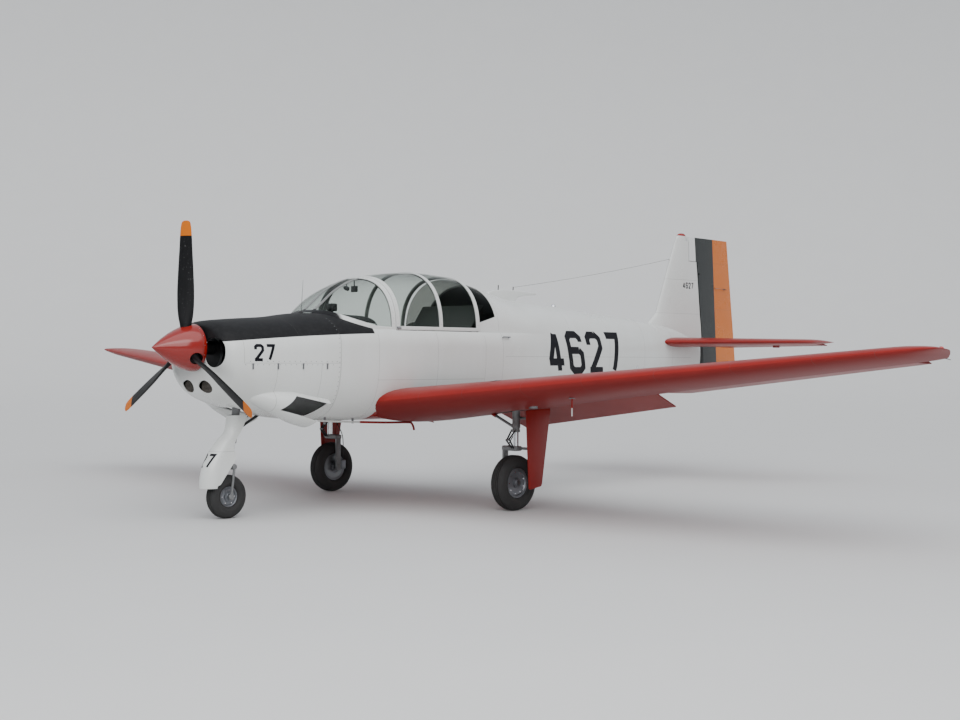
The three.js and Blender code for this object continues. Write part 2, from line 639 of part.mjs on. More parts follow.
const wholeTailplane = loft(tailStations.map(([y, lead, trail]) => aerofoil(tailThickness, 7)
  .map(([fraction, height]) => at(lead - fraction * (lead - trail), y, tailHeight + height * (lead - trail)))));

function tailHalfThickness(y) {
  const [a, b] = tailStations;
  const t = (y - a[0]) / (b[0] - a[0]);
  const [lead, trail] = [mix(a[1], b[1], t), mix(a[2], b[2], t)];
  return (lead - trail) * halfHeight(tailThickness, (lead - elevatorHinge) / (lead - trail));
}

// Hollow of a tail surface: rings of half heights, less a wall, between two fractions of the chord
const tailWall = 8;
function cavityRing(lead, trail, thickness, from, to, place) {
  const stops = [0, 0.2, 0.5, 1].map((t) => mix(from, to, t));
  const chord = lead - trail;
  const height = (f) => Math.max(chord * halfHeight(thickness, f) - tailWall, 1.5);
  const over = stops.map((f) => place(lead - f * chord, height(f)));
  const under = [...stops].reverse().map((f) => place(lead - f * chord, -height(f)));
  return [...over, ...under];
}

function tailplaneCavity() {
  return loft([[10, -2478, -3803], [1600, -2936, -3664]].map(([y, lead, trail]) => cavityRing(lead, trail, tailThickness,
    0.05, (lead - elevatorHinge - 75) / (lead - trail), (x, height) => at(x, y, tailHeight + height))));
}

function elevatorCavity() {
  return loft([[100, -2503, -3793], [1600, -2936, -3664]].map(([y, lead, trail]) => cavityRing(lead, trail, tailThickness,
    (lead - elevatorHinge + 24) / (lead - trail), 0.9, (x, height) => at(x, y, tailHeight + height))));
}

const elevatorLine = elevatorSpan.map((y) => at(elevatorHinge, y, tailHeight));
const elevatorNose = elevatorSpan.map((y) => tailHalfThickness(y));
const torqueTube = 14;

function elevator() {
  const [a, b] = elevatorLine;
  const blade = wholeTailplane.intersect(behind(a, b, 600, 200));
  const nose = tube(a, b, elevatorNose[0] - 1, 16, elevatorNose[1] - 1);
  const slant = loft([1400, 1800].map((z) => [at(elevatorHinge - 20, 0, z), at(elevatorHinge - 20, 152, z),
    at(elevatorHinge - 500, 330, z), at(elevatorHinge - 500, 0, z)]));
  const inner = tube(at(elevatorHinge, touchGap / 2, tailHeight), a, torqueTube, 16);
  const pin = tube(b, b.clone().add(at(0, runGap + hingePin.depth, 0)), hingePin.radius, 16);
  return union(blade.subtract(elevatorCavity()).subtract(slant), nose, inner, pin);
}

function elevatorBay() {
  const [a, b] = elevatorLine;
  const to = b.clone().add(at(0, runGap, 0));
  const from = at(elevatorHinge, 0, tailHeight);
  return union(
    behind(from, to, 600, 200),
    tube(a.clone().sub(at(0, 150, 0)), to, elevatorNose[0] + runGap, 16, elevatorNose[1] + runGap),
    tube(b, b.clone().add(at(0, runGap + hingePin.depth + 1, 0)), hingePin.hole, 16),
  );
}

// Fin and rudder: height, leading edge, trailing edge of the rudder
const finStations = [
  [1215, -2300, -4322],
  [1780, -2420, -4254],
  [1850, -2505, -4245],
  [1957, -2640, -4230],
  [2837, -3017, -4113],
  [2885, -3040, -4107],
];
const finThickness = 0.085;
const hingeTop = at(-3379, 0, 2885);
const hingeFoot = at(-3539, 0, 1215);
const rudderFoot = 1240;
const rudderEnd = -4304;
const hornFloor = 2589;
const hornFront = -3238;
const hornGap = 14;            // in front of the horn, whose corners swing past the fin

const wholeFin = loft(finStations.map(([z, lead, trail]) => aerofoil(finThickness, 7)
  .map(([fraction, height]) => at(lead - fraction * (lead - trail), height * (lead - trail), z))));

function finHalfThickness(z) {
  const after = Math.max(finStations.findIndex((station) => station[0] >= z), 1);
  const [a, b] = [finStations[after - 1], finStations[after]];
  const t = (z - a[0]) / (b[0] - a[0]);
  const [lead, trail] = [mix(a[1], b[1], t), mix(a[2], b[2], t)];
  return (lead - trail) * halfHeight(finThickness, (lead - rudderAxisX(z)) / (lead - trail));
}

function rudderAxisX(z) {
  return mix(hingeFoot.x, hingeTop.x, (z - hingeFoot.z) / (hingeTop.z - hingeFoot.z));
}

const rudderAxisAt = (z) => at(rudderAxisX(z), 0, z);
const rudderNose = [rudderFoot, 2885].map((z) => finHalfThickness(z));
const lug = { height: 2440, thick: 8, radius: 16, pin: 6, hole: 6.6 };

function behindRudder(z0, z1, ahead) {
  const ring = (z) => [at(rudderAxisX(z) + ahead, -200, z), at(rudderAxisX(z) + ahead, 200, z),
    at(rudderAxisX(z) - 1200, 200, z), at(rudderAxisX(z) - 1200, -200, z)];
  return loft([ring(z0), ring(z1)]);
}

function rudder() {
  const blade = wholeFin.intersect(behindRudder(rudderFoot, 2885, 0)).intersect(box(rudderEnd, -3000, -200, 200, 1200, 2900));
  const nose = tube(rudderAxisAt(rudderFoot), rudderAxisAt(2884), rudderNose[0] - 1, 16, rudderNose[1] - 1);
  const horn = wholeFin.intersect(box(-3420, hornFront, -200, 200, hornFloor + runGap, 2885));
  const slot = tube(rudderAxisAt(lug.height - 12), rudderAxisAt(lug.height + 12), 62, 20);
  const pin = tube(rudderAxisAt(lug.height - 30), rudderAxisAt(lug.height + 30), lug.pin, 12);
  const heel = tube(rudderAxisAt(rudderFoot - 24), rudderAxisAt(rudderFoot + 20), hingePin.radius, 16);
  return union(union(blade.subtract(rudderCavity()), nose, horn).subtract(slot), pin, heel);
}

function finCavity() {
  return loft([[1640, -2395, -4271], [1957, -2640, -4230], [2700, -2958, -4131]].map(([z, lead, trail]) => cavityRing(lead, trail,
    finThickness, 0.06, (lead - rudderAxisX(z) - 80) / (lead - trail), (x, height) => at(x, height, z))));
}

function rudderCavity() {
  return loft([[1200, -2300, -4324], [2370, -2817, -4175]].map(([z, lead, trail]) => cavityRing(lead, trail,
    finThickness, (lead - rudderAxisX(z) + 26) / (lead - trail), 0.93, (x, height) => at(x, height, z))));
}

function rudderBay() {
  return union(
    tube(rudderAxisAt(1215), rudderAxisAt(2884), rudderNose[0] + runGap + 1, 16, rudderNose[1] + runGap),
    behindRudder(1215, 2885, 0),
    box(-3700, hornFront + hornGap, -200, 200, hornFloor, 2960),
  );
}

function fin() {
  const blade = wholeFin.intersect(box(-4400, -2000, -200, 200, 1650, 2838));
  const capRings = [[2837, 1], [2880, 0.93], [2912, 0.7], [2926, 0.35]].map(([z, size]) => Array.from({ length: 16 }, (_, i) => {
    const angle = 2 * Math.PI * i / 16;
    const lean = -3125 - (z - 2837) * 0.3;
    return at(lean + 104 * size * Math.cos(angle), 34 * size * Math.sin(angle), z);
  }));
  const cap = loft(capRings);
  const lugPlate = union(
    tube(rudderAxisAt(lug.height - lug.thick / 2), rudderAxisAt(lug.height + lug.thick / 2), lug.radius, 16),
    box(rudderAxisX(lug.height), rudderAxisX(lug.height) + 90, -10, 10, lug.height - lug.thick / 2, lug.height + lug.thick / 2),
  ).subtract(tube(rudderAxisAt(lug.height - 20), rudderAxisAt(lug.height + 20), lug.hole, 12));
  const trimmed = union(blade.subtract(finCavity()), cap).subtract(rudderBay()).subtract(grownHull);
  return union(trimmed, lugPlate);
}

function tailConeDone() {
  const heel = box(-3575, -3420, -26, 26, 1180, 1216 - touchGap)
    .subtract(tube(rudderAxisAt(1180), rudderAxisAt(1217), hingePin.hole, 16));
  const torqueHole = tube(at(elevatorHinge, -200, tailHeight), at(elevatorHinge, 200, tailHeight), torqueTube + 0.8, 16);
  return tailCone().subtract(rudderBay().intersect(box(-4400, -3300, -200, 200, 1216, 2400))).add(heel).subtract(torqueHole);
}

const tailplaneHalf = wholeTailplane.subtract(elevatorBay()).subtract(tailplaneCavity())
  .subtract(wholeFinGrown()).subtract(behindRudder(1215, 2885, 80));

function wholeFinGrown() {
  return loft(finStations.map(([z, lead, trail]) => aerofoil(finThickness, 7)
    .map(([fraction, height]) => at(lead + touchGap - fraction * (lead - trail),
      height * (lead - trail) + Math.sign(height) * touchGap, z))));
}

const finishedFin = fin().subtract(tube(at(elevatorHinge, -200, tailHeight), at(elevatorHinge, 200, tailHeight), 16, 16));
const leftElevator = swung(elevator(), elevatorLine[0], at(0, 1, 0), -elevatorDroop);

addPiece('tail_cone', tailConeDone(), paint.white);
addPiece('fin', finishedFin, paint.white);
addPiece('rudder', rudder(), paint.ochre);
addPiece('tailplane_left', largest(tailplaneHalf.subtract(grownHull)), paint.red);
addPiece('tailplane_right', largest(mirrored(tailplaneHalf).subtract(grownHull)), paint.red);
addPiece('elevator_left', leftElevator, paint.red);
addPiece('elevator_right', mirrored(leftElevator), paint.red);

// Aerial fairing on the spine behind the cabin, overhanging at its tail
function spineFairing() {
  const shape = extruded([[262, 2094], [60, 2150], [-465, 2134], [-465, 2112], [-150, 2096], [-60, 1900], [262, 1900]], -38, 38);
  return shape.subtract(grownHull);
}
addPiece('spine_fairing', largest(spineFairing()), paint.white);

// Propeller: spinner and three twisted blades
function spinner(grow = 0) {
  const length = spinnerTip - spinnerBase;
  const steps = 8;
  const profile = Array.from({ length: steps + 1 }, (_, i) => {
    const f = i / steps;
    return [(spinnerRadius + grow) * (1 - f ** spinnerPoint), f * (length + grow)];
  });
  profile[steps] = [0, length + grow];
  profile.unshift([spinnerRadius + grow - 12, -grow]);
  profile.unshift([0, -grow]);
  return turned(profile, at(spinnerBase, 0, thrustHeight), at(1, 0, 0), 24);
}

// Blade stations: radius, chord, thickness, twist in degrees from the plane of rotation
const bladeStations = [
  [100, 74, 74, 55],
  [190, 96, 60, 50],
  [260, 124, 44, 46],
  [350, 142, 32, 42],
  [480, 150, 24, 36],
  [640, 142, 19, 31],
  [820, 127, 13, 26],
  [980, 113, 9, 22],
  [1045, 98, 7, 20],
  [1068, 78, 5, 20],
  [bladeRadius, 40, 4, 20],
];

function blade(turn) {
  const rings = bladeStations.map(([radius, chord, thick, twist]) => Array.from({ length: 8 }, (_, i) => {
    const angle = 2 * Math.PI * i / 8;
    const [u, v] = [chord / 2 * Math.cos(angle), thick / 2 * Math.sin(angle)];
    const t = -twist * Math.PI / 180;
    const [side, ahead] = [u * Math.cos(t) - v * Math.sin(t), u * Math.sin(t) + v * Math.cos(t)];
    return at(ahead, side * Math.cos(turn) + radius * Math.sin(turn), -side * Math.sin(turn) + radius * Math.cos(turn));
  }));
  return loft(rings).translate([propellerX, 0, thrustHeight]).subtract(spinner(touchGap));
}

addPiece('spinner', spinner(), paint.red);
[0, 1, 2].forEach((i) => {
  addPiece(`propeller_blade_${i + 1}`, largest(blade(i * 2 * Math.PI / 3)), paint.black);
});

// Wheels: a tyre and a rim about a Y axis
function tyre(radius, width, rim) {
  const half = width / 2;
  const profile = [[rim, -half * 0.62], [rim + (radius - rim) * 0.3, -half], [rim + (radius - rim) * 0.68, -half * 0.95],
    [radius - 12, -half * 0.62], [radius, -half * 0.3], [radius, half * 0.3], [radius - 12, half * 0.62],
    [rim + (radius - rim) * 0.68, half * 0.95], [rim + (radius - rim) * 0.3, half], [rim, half * 0.62]];
  return [...profile, profile[0]];
}

function rim(outer, bore, width) {
  const half = width / 2;
  const profile = [[bore, -half * 0.8], [bore + 26, -half * 0.8], [bore + 30, -half * 0.42], [outer, -half * 0.6],
    [outer, half * 0.6], [bore + 30, half * 0.42], [bore + 26, half * 0.8], [bore, half * 0.8]];
  return [...profile, profile[0]];
}

const alongY = at(0, 1, 0);
function wheel(name, axle, centre) {
  addPiece(`${name}_tyre`, turned(tyre(axle.tyre, axle.width, axle.rim + touchGap), centre, alongY, 24), paint.rubber);
  addPiece(`${name}_rim`, turned(rim(axle.rim, axle.pin + touchGap + 0.2, axle.width), centre, alongY, 24), paint.alloy);
}

wheel('nose_wheel', noseAxle, at(noseAxle.x, 0, noseAxle.z));
wheel('main_wheel_left', mainAxle, at(mainAxle.x, mainAxle.y, mainAxle.z));
wheel('main_wheel_right', mainAxle, at(mainAxle.x, -mainAxle.y, mainAxle.z));

// Main leg: cylinder in the wing, bright oleo, half fork on the inner side of the wheel, side brace
function mainLeg() {
  const { x, y, z, width, pin } = mainAxle;
  const legY = y + 30;
  const inner = y - width / 2 - 8;
  const cylinder = tube(at(x, legY, 1075 - touchGap), at(x, legY, 740), 40, 16);
  const oleo = tube(at(x, legY, 760), at(x, legY, 580), 27, 16);
  const yoke = box(x - 42, x + 42, inner - 28, legY + 42, 548, 596);
  const arm = box(x - 30, x + 30, inner - 28, inner, z - 34, 560);
  const axlePin = tube(at(x, inner - 20, z), at(x, y + width * 0.42, z), pin, 12);
  const brace = tube(at(x, 1060, 1000), at(x, legY - 20, 800), 17, 12);
  const braceRoot = box(x - 20, x + 20, 1040 + touchGap, 1090, 960, 1075 - touchGap);
  const doorStays = [850, 572].map((height) => tube(at(x - 40, legY, height), at(x - 40, 1465 - touchGap, height), 14, 12));
  return union(cylinder, oleo, yoke, arm, axlePin, brace, braceRoot, ...doorStays);
}

function gearDoor() {
  return extruded([[1290, 885], [950, 885], [1070, 222], [1243, 196]], 1465, 1477);
}

addPiece('main_leg_left', mainLeg(), paint.steel);
addPiece('main_leg_right', mirrored(mainLeg()), paint.steel);
addPiece('gear_door_left', gearDoor(), paint.red);
addPiece('gear_door_right', mirrored(gearDoor()), paint.red);

// Nose leg: fixed cylinder braced to the firewall, and the steered fork and fairing below it
const strutAt = (z) => strutFoot.clone().lerp(strutTop, (z - strutFoot.z) / (strutTop.z - strutFoot.z));
const steerJoint = 650;

function noseLeg() {
  const cylinder = tube(strutAt(steerJoint), strutAt(1060), 38, 16);
  const braces = [1, -1].map((side) => tube(strutAt(1030), at(seamCowl + touchGap, side * 150, 1080), 15, 12));
  return union(cylinder, ...braces).intersect(box(seamCowl + touchGap, 3700, -300, 300, 500, 1200));
}

function noseFork() {
  const { x, z, width, pin } = noseAxle;
  const axis = strutTop.clone().sub(strutFoot).normalize();
  const top = strutAt(steerJoint).sub(axis.clone().multiplyScalar(touchGap));
  const oleo = tube(top, strutAt(440), 27, 14);
  const crown = tube(strutAt(450).add(at(0, -92, 0)), strutAt(450).add(at(0, 92, 0)), 26, 10);
  const arms = [1, -1].map((side) => {
    const y = side * (width / 2 + 16);
    return union(tube(strutAt(450).setY(y), at(x, y, z), 15, 8), tube(at(x, y - 9, z), at(x, y + 9, z), 26, 12));
  });
  const axlePin = tube(at(x, -width / 2 - 16, z), at(x, width / 2 + 16, z), pin, 12);
  const stay = tube(strutAt(540), at(3650, 0, 540), 12, 8);
  const stayBar = tube(at(3650, -88 + touchGap, 540), at(3650, 88 - touchGap, 540), 10, 8);
  return union(oleo, crown, ...arms, axlePin, stay, stayBar);
}

// Fairing stations: height, front, rear, half width
const fairingStations = [
  [272, 3864, 3800, 92],
  [303, 3860, 3671, 96],
  [430, 3826, 3575, 98],
  [540, 3786, 3496, 96],
  [586, 3767, 3475, 95],
  [895, 3540, 3335, 84],
];

function fairingShell() {
  const ring = (z, front, rear, half) => {
    const nose = front - 110;
    const arc = Array.from({ length: 13 }, (_, i) => {
      const angle = Math.PI * (i / 12 - 0.5);
      return at(nose + (front - nose) * Math.cos(angle), half * Math.sin(angle), z);
    });
    return [...arc, at(Math.min(rear, nose - 5), half, z), at(Math.min(rear, nose - 5), -half, z)];
  };
  const outer = loft(fairingStations.map(([z, front, rear, half]) => ring(z, front, rear, half)));
  const inner = loft(fairingStations.map(([z, front, rear, half], i) => ring(
    z + (i === 0 ? -20 : i === fairingStations.length - 1 ? 20 : 0), front - 9, rear - 200, half - 8)));
  return outer.subtract(inner);
}

addPiece('nose_leg', noseLeg(), paint.steel);
addPiece('nose_fork', noseFork(), paint.steel);
addPiece('nose_fairing', fairingShell(), paint.white);

export default aircraft;
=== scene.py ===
# Trainer aircraft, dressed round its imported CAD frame. Metres: +X to the nose, +Y to port, +Z up.
import json
from bisect import bisect_right
from math import asin, copysign, cos, hypot, pi, radians, sin, sqrt
from types import SimpleNamespace

import bmesh
import bpy
from mathutils import Matrix, Vector
from mathutils.bvhtree import BVHTree

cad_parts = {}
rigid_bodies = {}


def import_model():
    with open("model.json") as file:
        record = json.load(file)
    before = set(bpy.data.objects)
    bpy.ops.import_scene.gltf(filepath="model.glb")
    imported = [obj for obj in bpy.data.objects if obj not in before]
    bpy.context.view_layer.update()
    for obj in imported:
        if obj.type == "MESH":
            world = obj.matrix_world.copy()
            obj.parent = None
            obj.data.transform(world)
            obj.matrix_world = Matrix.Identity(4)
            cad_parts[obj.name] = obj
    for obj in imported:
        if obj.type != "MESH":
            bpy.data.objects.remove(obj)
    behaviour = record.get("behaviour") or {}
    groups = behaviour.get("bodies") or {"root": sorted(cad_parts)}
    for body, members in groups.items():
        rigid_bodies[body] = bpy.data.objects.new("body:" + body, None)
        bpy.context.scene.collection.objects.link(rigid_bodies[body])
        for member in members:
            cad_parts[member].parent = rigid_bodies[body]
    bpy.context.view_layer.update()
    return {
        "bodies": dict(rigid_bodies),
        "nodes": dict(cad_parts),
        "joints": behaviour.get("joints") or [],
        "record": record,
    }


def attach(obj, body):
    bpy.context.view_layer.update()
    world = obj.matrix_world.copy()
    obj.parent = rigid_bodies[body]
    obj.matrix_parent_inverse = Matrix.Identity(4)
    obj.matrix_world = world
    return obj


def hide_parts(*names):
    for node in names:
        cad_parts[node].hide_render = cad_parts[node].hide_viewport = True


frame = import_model()


# Numbers and curves

def mix(a, b, t):
    return a + (b - a) * t


def ease(t):
    t = min(max(t, 0), 1)
    return t * t * (3 - 2 * t)


def power(value, exponent):
    return copysign(abs(value) ** exponent, value)


def span(a, b, count):
    return [mix(a, b, i / (count - 1)) for i in range(count)]


def circle(count):
    return span(0, 2 * pi, count + 1)[:-1]


def through(xs, ys):  # smooth curve through the points that never overshoots them
    slopes = [(ys[i + 1] - ys[i]) / (xs[i + 1] - xs[i]) for i in range(len(xs) - 1)]
    inner = [0 if a * b <= 0 else 2 * a * b / (a + b) for a, b in zip(slopes, slopes[1:])]
    tangents = [slopes[0], *inner, slopes[-1]]

    def value(x):
        x = min(max(x, xs[0]), xs[-1])
        i = min(max(bisect_right(xs, x) - 1, 0), len(xs) - 2)
        width = xs[i + 1] - xs[i]
        t = (x - xs[i]) / width
        start, end = tangents[i] * width, tangents[i + 1] * width
        return (ys[i] * (2 * t ** 3 - 3 * t ** 2 + 1) + start * (t ** 3 - 2 * t ** 2 + t)
                + ys[i + 1] * (3 * t ** 2 - 2 * t ** 3) + end * (t ** 3 - t ** 2))
    return value


class Table:  # rows of numbers with named columns, read as smooth curves
    def __init__(self, names, rows, warp=lambda x: x):
        rows = sorted(rows, key=lambda row: warp(row[0]))
        self.warp = warp
        keys = [warp(row[0]) for row in rows]
        self.curves = {name: through(keys, [row[i + 1] for row in rows]) for i, name in enumerate(names)}

    def __call__(self, x):
        return SimpleNamespace(**{name: curve(self.warp(x)) for name, curve in self.curves.items()})


# Meshes

def meshPiece(name, points, faces, coat):  # the coat is the name of a finish
    mesh = bpy.data.meshes.new(name)
    mesh.from_pydata([tuple(p) for p in points], [], faces)
    mesh.materials.append(finishes[coat])
    piece = bpy.data.objects.new(name, mesh)
    bpy.context.scene.collection.objects.link(piece)
    work = bmesh.new()
    work.from_mesh(mesh)
    bmesh.ops.remove_doubles(work, verts=work.verts, dist=2e-5)
    bmesh.ops.dissolve_degenerate(work, edges=work.edges, dist=1e-6)
    if work.calc_volume(signed=True) < 0:
        bmesh.ops.reverse_faces(work, faces=work.faces)
    work.to_mesh(mesh)
    work.free()
    return piece


def lattice(rings, caps=True, loop=False):  # quads between rings of equal counts
    count, rows = len(rings[0]), len(rings)
    faces = []
    for i in range(rows if loop else rows - 1):
        a, b = i * count, (i + 1) % rows * count
        for j in range(count):
            k = (j + 1) % count
            faces.append((a + j, a + k, b + k, b + j))
    if caps and not loop:
        faces.append(tuple(range(count))[::-1])
        faces.append(tuple(range((rows - 1) * count, rows * count)))
    return [p for ring in rings for p in ring], faces


def skin(name, rings, coat, **options):
    return meshPiece(name, *lattice(rings, **options), coat)


def applied(piece):
    bpy.context.view_layer.update()
    graph = bpy.context.evaluated_depsgraph_get()
    mesh = bpy.data.meshes.new_from_object(piece.evaluated_get(graph))
    old = piece.data
    piece.modifiers.clear()
    piece.data = mesh
    mesh.name = piece.name
    bpy.data.meshes.remove(old)
    return piece


def discard(*pieces):
    for piece in pieces:
        mesh = piece.data
        bpy.data.objects.remove(piece)
        if mesh.users == 0:
            bpy.data.meshes.remove(mesh)


def carve(piece, *tools, operation="DIFFERENCE"):
    for tool in tools:
        step = piece.modifiers.new("carve", "BOOLEAN")
        step.operation, step.solver, step.object = operation, "EXACT", tool
        step.material_mode = "TRANSFER"
    applied(piece)
    discard(*tools)
    return piece


def joined(name, *pieces):
    work = bmesh.new()
    finishes = []
    for piece in pieces:
        known = len(work.faces)
        work.from_mesh(piece.data)
        work.faces.ensure_lookup_table()
        for index in range(known, len(work.faces)):
            face = work.faces[index]
            finish = piece.data.materials[face.material_index]
            if finish not in finishes:
                finishes.append(finish)
            face.material_index = finishes.index(finish)
    mesh = bpy.data.meshes.new(name)
    work.to_mesh(mesh)
    work.free()
    for finish in finishes:
        mesh.materials.append(finish)
    discard(*pieces)
    whole = bpy.data.objects.new(name, mesh)
    bpy.context.scene.collection.objects.link(whole)
    return whole


def turnedMesh(piece, matrix):
    piece.data.transform(matrix)
    return piece


def copied(piece, name, matrix=None):
    twin = bpy.data.objects.new(name, piece.data.copy())
    bpy.context.scene.collection.objects.link(twin)
    if matrix:
        twin.data.transform(matrix)
        if matrix.determinant() < 0:
            twin.data.flip_normals()
    return twin


acrossMirror = Matrix.Scale(-1, 4, (0, 1, 0))
bothSides = ((1, "left"), (-1, "right"))


def about(point, axis, degrees):
    spot = Matrix.Translation(Vector(point))
    return spot @ Matrix.Rotation(radians(degrees), 4, Vector(axis)) @ spot.inverted()


def side(axis):  # two directions square to an axis
    axis = Vector(axis).normalized()
    first = axis.cross(Vector((0, 0, 1)) if abs(axis.z) < 0.9 else Vector((1, 0, 0))).normalized()
    return first, axis.cross(first)


def pipe(name, path, radius, coat, sides=12, caps=True):
    path = [Vector(p) for p in path]
    radii = radius if isinstance(radius, (list, tuple)) else [radius] * len(path)
    first, second = side(path[1] - path[0])
    rings, before = [], (path[1] - path[0]).normalized()
    for i, p in enumerate(path):
        ahead = (path[min(i + 1, len(path) - 1)] - path[max(i - 1, 0)]).normalized()
        turn = before.rotation_difference(ahead)
        first, second, before = turn @ first, turn @ second, ahead
        rings.append([p + radii[i] * (cos(a) * first + sin(a) * second)
                      for a in circle(sides)])
    return skin(name, rings, coat, caps=caps)


def rod(name, a, b, radius, coat, sides=16, end=None):
    return pipe(name, [a, b], [radius, end or radius], coat, sides=sides)


def bend(points, steps=6):  # smooth path through a few points
    points = [Vector(p) for p in points]
    out = []
    for i in range(len(points) - 1):
        p0, p1, p2 = points[max(i - 1, 0)], points[i], points[i + 1]
        p3 = points[min(i + 2, len(points) - 1)]
        for t in span(0, 1, steps + 1)[:-1]:
            out.append(0.5 * ((2 * p1) + (p2 - p0) * t + (2 * p0 - 5 * p1 + 4 * p2 - p3) * t * t
                              + (3 * p1 - p0 - 3 * p2 + p3) * t ** 3))
    return [*out, points[-1]]


def lathe(name, profile, centre, axis, coat, steps=48, loop=False):  # profile of (radius, height)
    centre, axis = Vector(centre), Vector(axis).normalized()
    first, second = side(axis)
    rings = []
    for angle in circle(steps):
        out = cos(angle) * first + sin(angle) * second
        rings.append([centre + axis * h + out * max(r, 0) for r, h in profile])
    count = len(profile)
    points = [p for ring in rings for p in ring]
    faces = []
    for i in range(steps):
        a, b = i * count, (i + 1) % steps * count
        for j in range(count if loop else count - 1):
            k = (j + 1) % count
            faces.append((a + j, b + j, b + k, a + k))
    return meshPiece(name, points, faces, coat)


def block(name, low, high, coat, round=0, steps=2):
    points = [(x, y, z) for x in (low[0], high[0]) for y in (low[1], high[1]) for z in (low[2], high[2])]
    faces = [(0, 1, 3, 2), (4, 6, 7, 5), (0, 4, 5, 1), (2, 3, 7, 6), (0, 2, 6, 4), (1, 5, 7, 3)]
    piece = meshPiece(name, points, faces, coat)
    return rounded(piece, round, steps) if round else piece


def plate(name, outline, y0, y1, coat, round=0):  # outline in x and z, thickness along y
    rings = [[Vector((x, y, z)) for x, z in outline] for y in (y0, y1)]
    piece = skin(name, rings, coat)
    return rounded(piece, round, 2) if round else piece


def rounded(piece, width, steps=2, angle=40):
    step = piece.modifiers.new("round", "BEVEL")
    step.width, step.segments, step.limit_method, step.angle_limit = width, steps, "ANGLE", radians(angle)
    step.use_clamp_overlap = True
    return applied(piece)


def smoothed(piece, angle=32):
    piece.data.shade_smooth()
    piece.data.set_sharp_from_angle(angle=radians(angle))
    return piece


made = {}  # finished pieces by the part they stand for


def dress(piece, body, slot, *nodes, angle=32):
    smoothed(piece, angle)
    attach(piece, body)
    if nodes:
        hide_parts(*nodes)
        made[nodes[0]] = piece
        piece.name = piece.data.name = nodes[0] + "_detailed"
    return piece


def surfaceOf(piece):
    return BVHTree.FromPolygons([v.co for v in piece.data.vertices],
                                [tuple(f.vertices) for f in piece.data.polygons])


def onSurface(surface, start, way, reach=1e6):  # where a ray lands, and the way out of the surface there
    way = Vector(way).normalized()
    hit, normal = surface.ray_cast(Vector(start), way, reach)[:2]
    return hit, (normal if not hit or normal.dot(way) < 0 else -normal)


# Materials

class Wire:  # a node socket that takes part in arithmetic
    def __init__(self, finish, socket):
        self.finish, self.socket = finish, socket

    def calc(self, operation, *others):
        values = dict(enumerate((self, *others)))
        return self.finish.node("ShaderNodeMath", {"operation": operation}, values)

    def __add__(self, other):
        return self.calc("ADD", other)

    def __sub__(self, other):
        return self.calc("SUBTRACT", other)

    def __mul__(self, other):
        return self.calc("MULTIPLY", other)

    def __truediv__(self, other):
        return self.calc("DIVIDE", other)

    def __rsub__(self, other):
        return self.finish.value("SUBTRACT", other, self)

    def __neg__(self):
        return self * -1

    def __abs__(self):
        return self.calc("ABSOLUTE")

    __radd__, __rmul__ = __add__, __mul__

    def clamp(self):
        return self.finish.node("ShaderNodeClamp", {}, {0: self, 1: 0.0, 2: 1.0})

    def above(self, edge, blur=0.001):  # 1 above the edge, 0 below it
        return ((self - edge) / blur + 0.5).clamp()

    def between(self, low, high, blur=0.001):
        return self.above(low, blur) * (1 - self.above(high, blur))

    def near(self, place, width):  # 1 on a line, fading to 0 at half its width
        return (1 - abs(self - place) / (width / 2)).clamp()


class Finish:
    def __init__(self, name, **fixed):
        self.material = bpy.data.materials.new(name)
        self.material.use_nodes = True
        self.tree = self.material.node_tree
        self.tree.nodes.clear()
        self.output = self.tree.nodes.new("ShaderNodeOutputMaterial")
        self.shader = self.tree.nodes.new("ShaderNodeBsdfPrincipled")
        self.tree.links.new(self.shader.outputs[0], self.output.inputs[0])
        self.feed(**fixed)
        self.place = Wire(self, self.tree.nodes.new("ShaderNodeTexCoord").outputs["Object"])
        self.x, self.y, self.z = (self.node("ShaderNodeSeparateXYZ", {}, {0: self.place}, i)
                                  for i in range(3))

    def plug(self, socket, value):
        if isinstance(value, Wire):
            self.tree.links.new(value.socket, socket)
        else:
            socket.default_value = value

    def node(self, kind, settings, sockets, output=0):
        made = self.tree.nodes.new(kind)
        for key, value in settings.items():
            setattr(made, key, value)
        for key, value in sockets.items():
            self.plug(made.inputs[key], value)
        return Wire(self, made.outputs[output])

    def value(self, operation, a, b):
        return self.node("ShaderNodeMath", {"operation": operation}, {0: a, 1: b})

    def noise(self, scale, detail=3, roughness=0.55, stretch=None):
        at = self.place
        if stretch:
            at = self.node("ShaderNodeVectorMath", {"operation": "MULTIPLY"}, {0: at, 1: stretch})
        return self.node("ShaderNodeTexNoise", {}, {"Vector": at, "Scale": scale, "Detail": detail,
                                                   "Roughness": roughness})

    def cells(self, scale):
        return self.node("ShaderNodeTexVoronoi", {}, {"Vector": self.place, "Scale": scale})

    def blend(self, share, a, b):  # colours
        return self.node("ShaderNodeMix", {"data_type": "RGBA"}, {0: share, 6: a, 7: b}, 2)

    def bump(self, height, depth, strength):
        return self.node("ShaderNodeBump", {}, {"Height": height, "Distance": depth, "Strength": strength})

    def feed(self, **links):
        for key, value in links.items():
            self.plug(self.shader.inputs[socketNames[key]], value)
        return self.material


socketNames = {"colour": "Base Color", "rough": "Roughness", "metal": "Metallic", "coat": "Coat Weight",
               "coatRough": "Coat Roughness", "sheen": "Sheen Weight", "normal": "Normal", "ior": "IOR",
               "specular": "Specular IOR Level"}


def shade(red, green=None, blue=None):  # one number makes a grey
    return (red, red if green is None else green, red if blue is None else blue, 1.0)


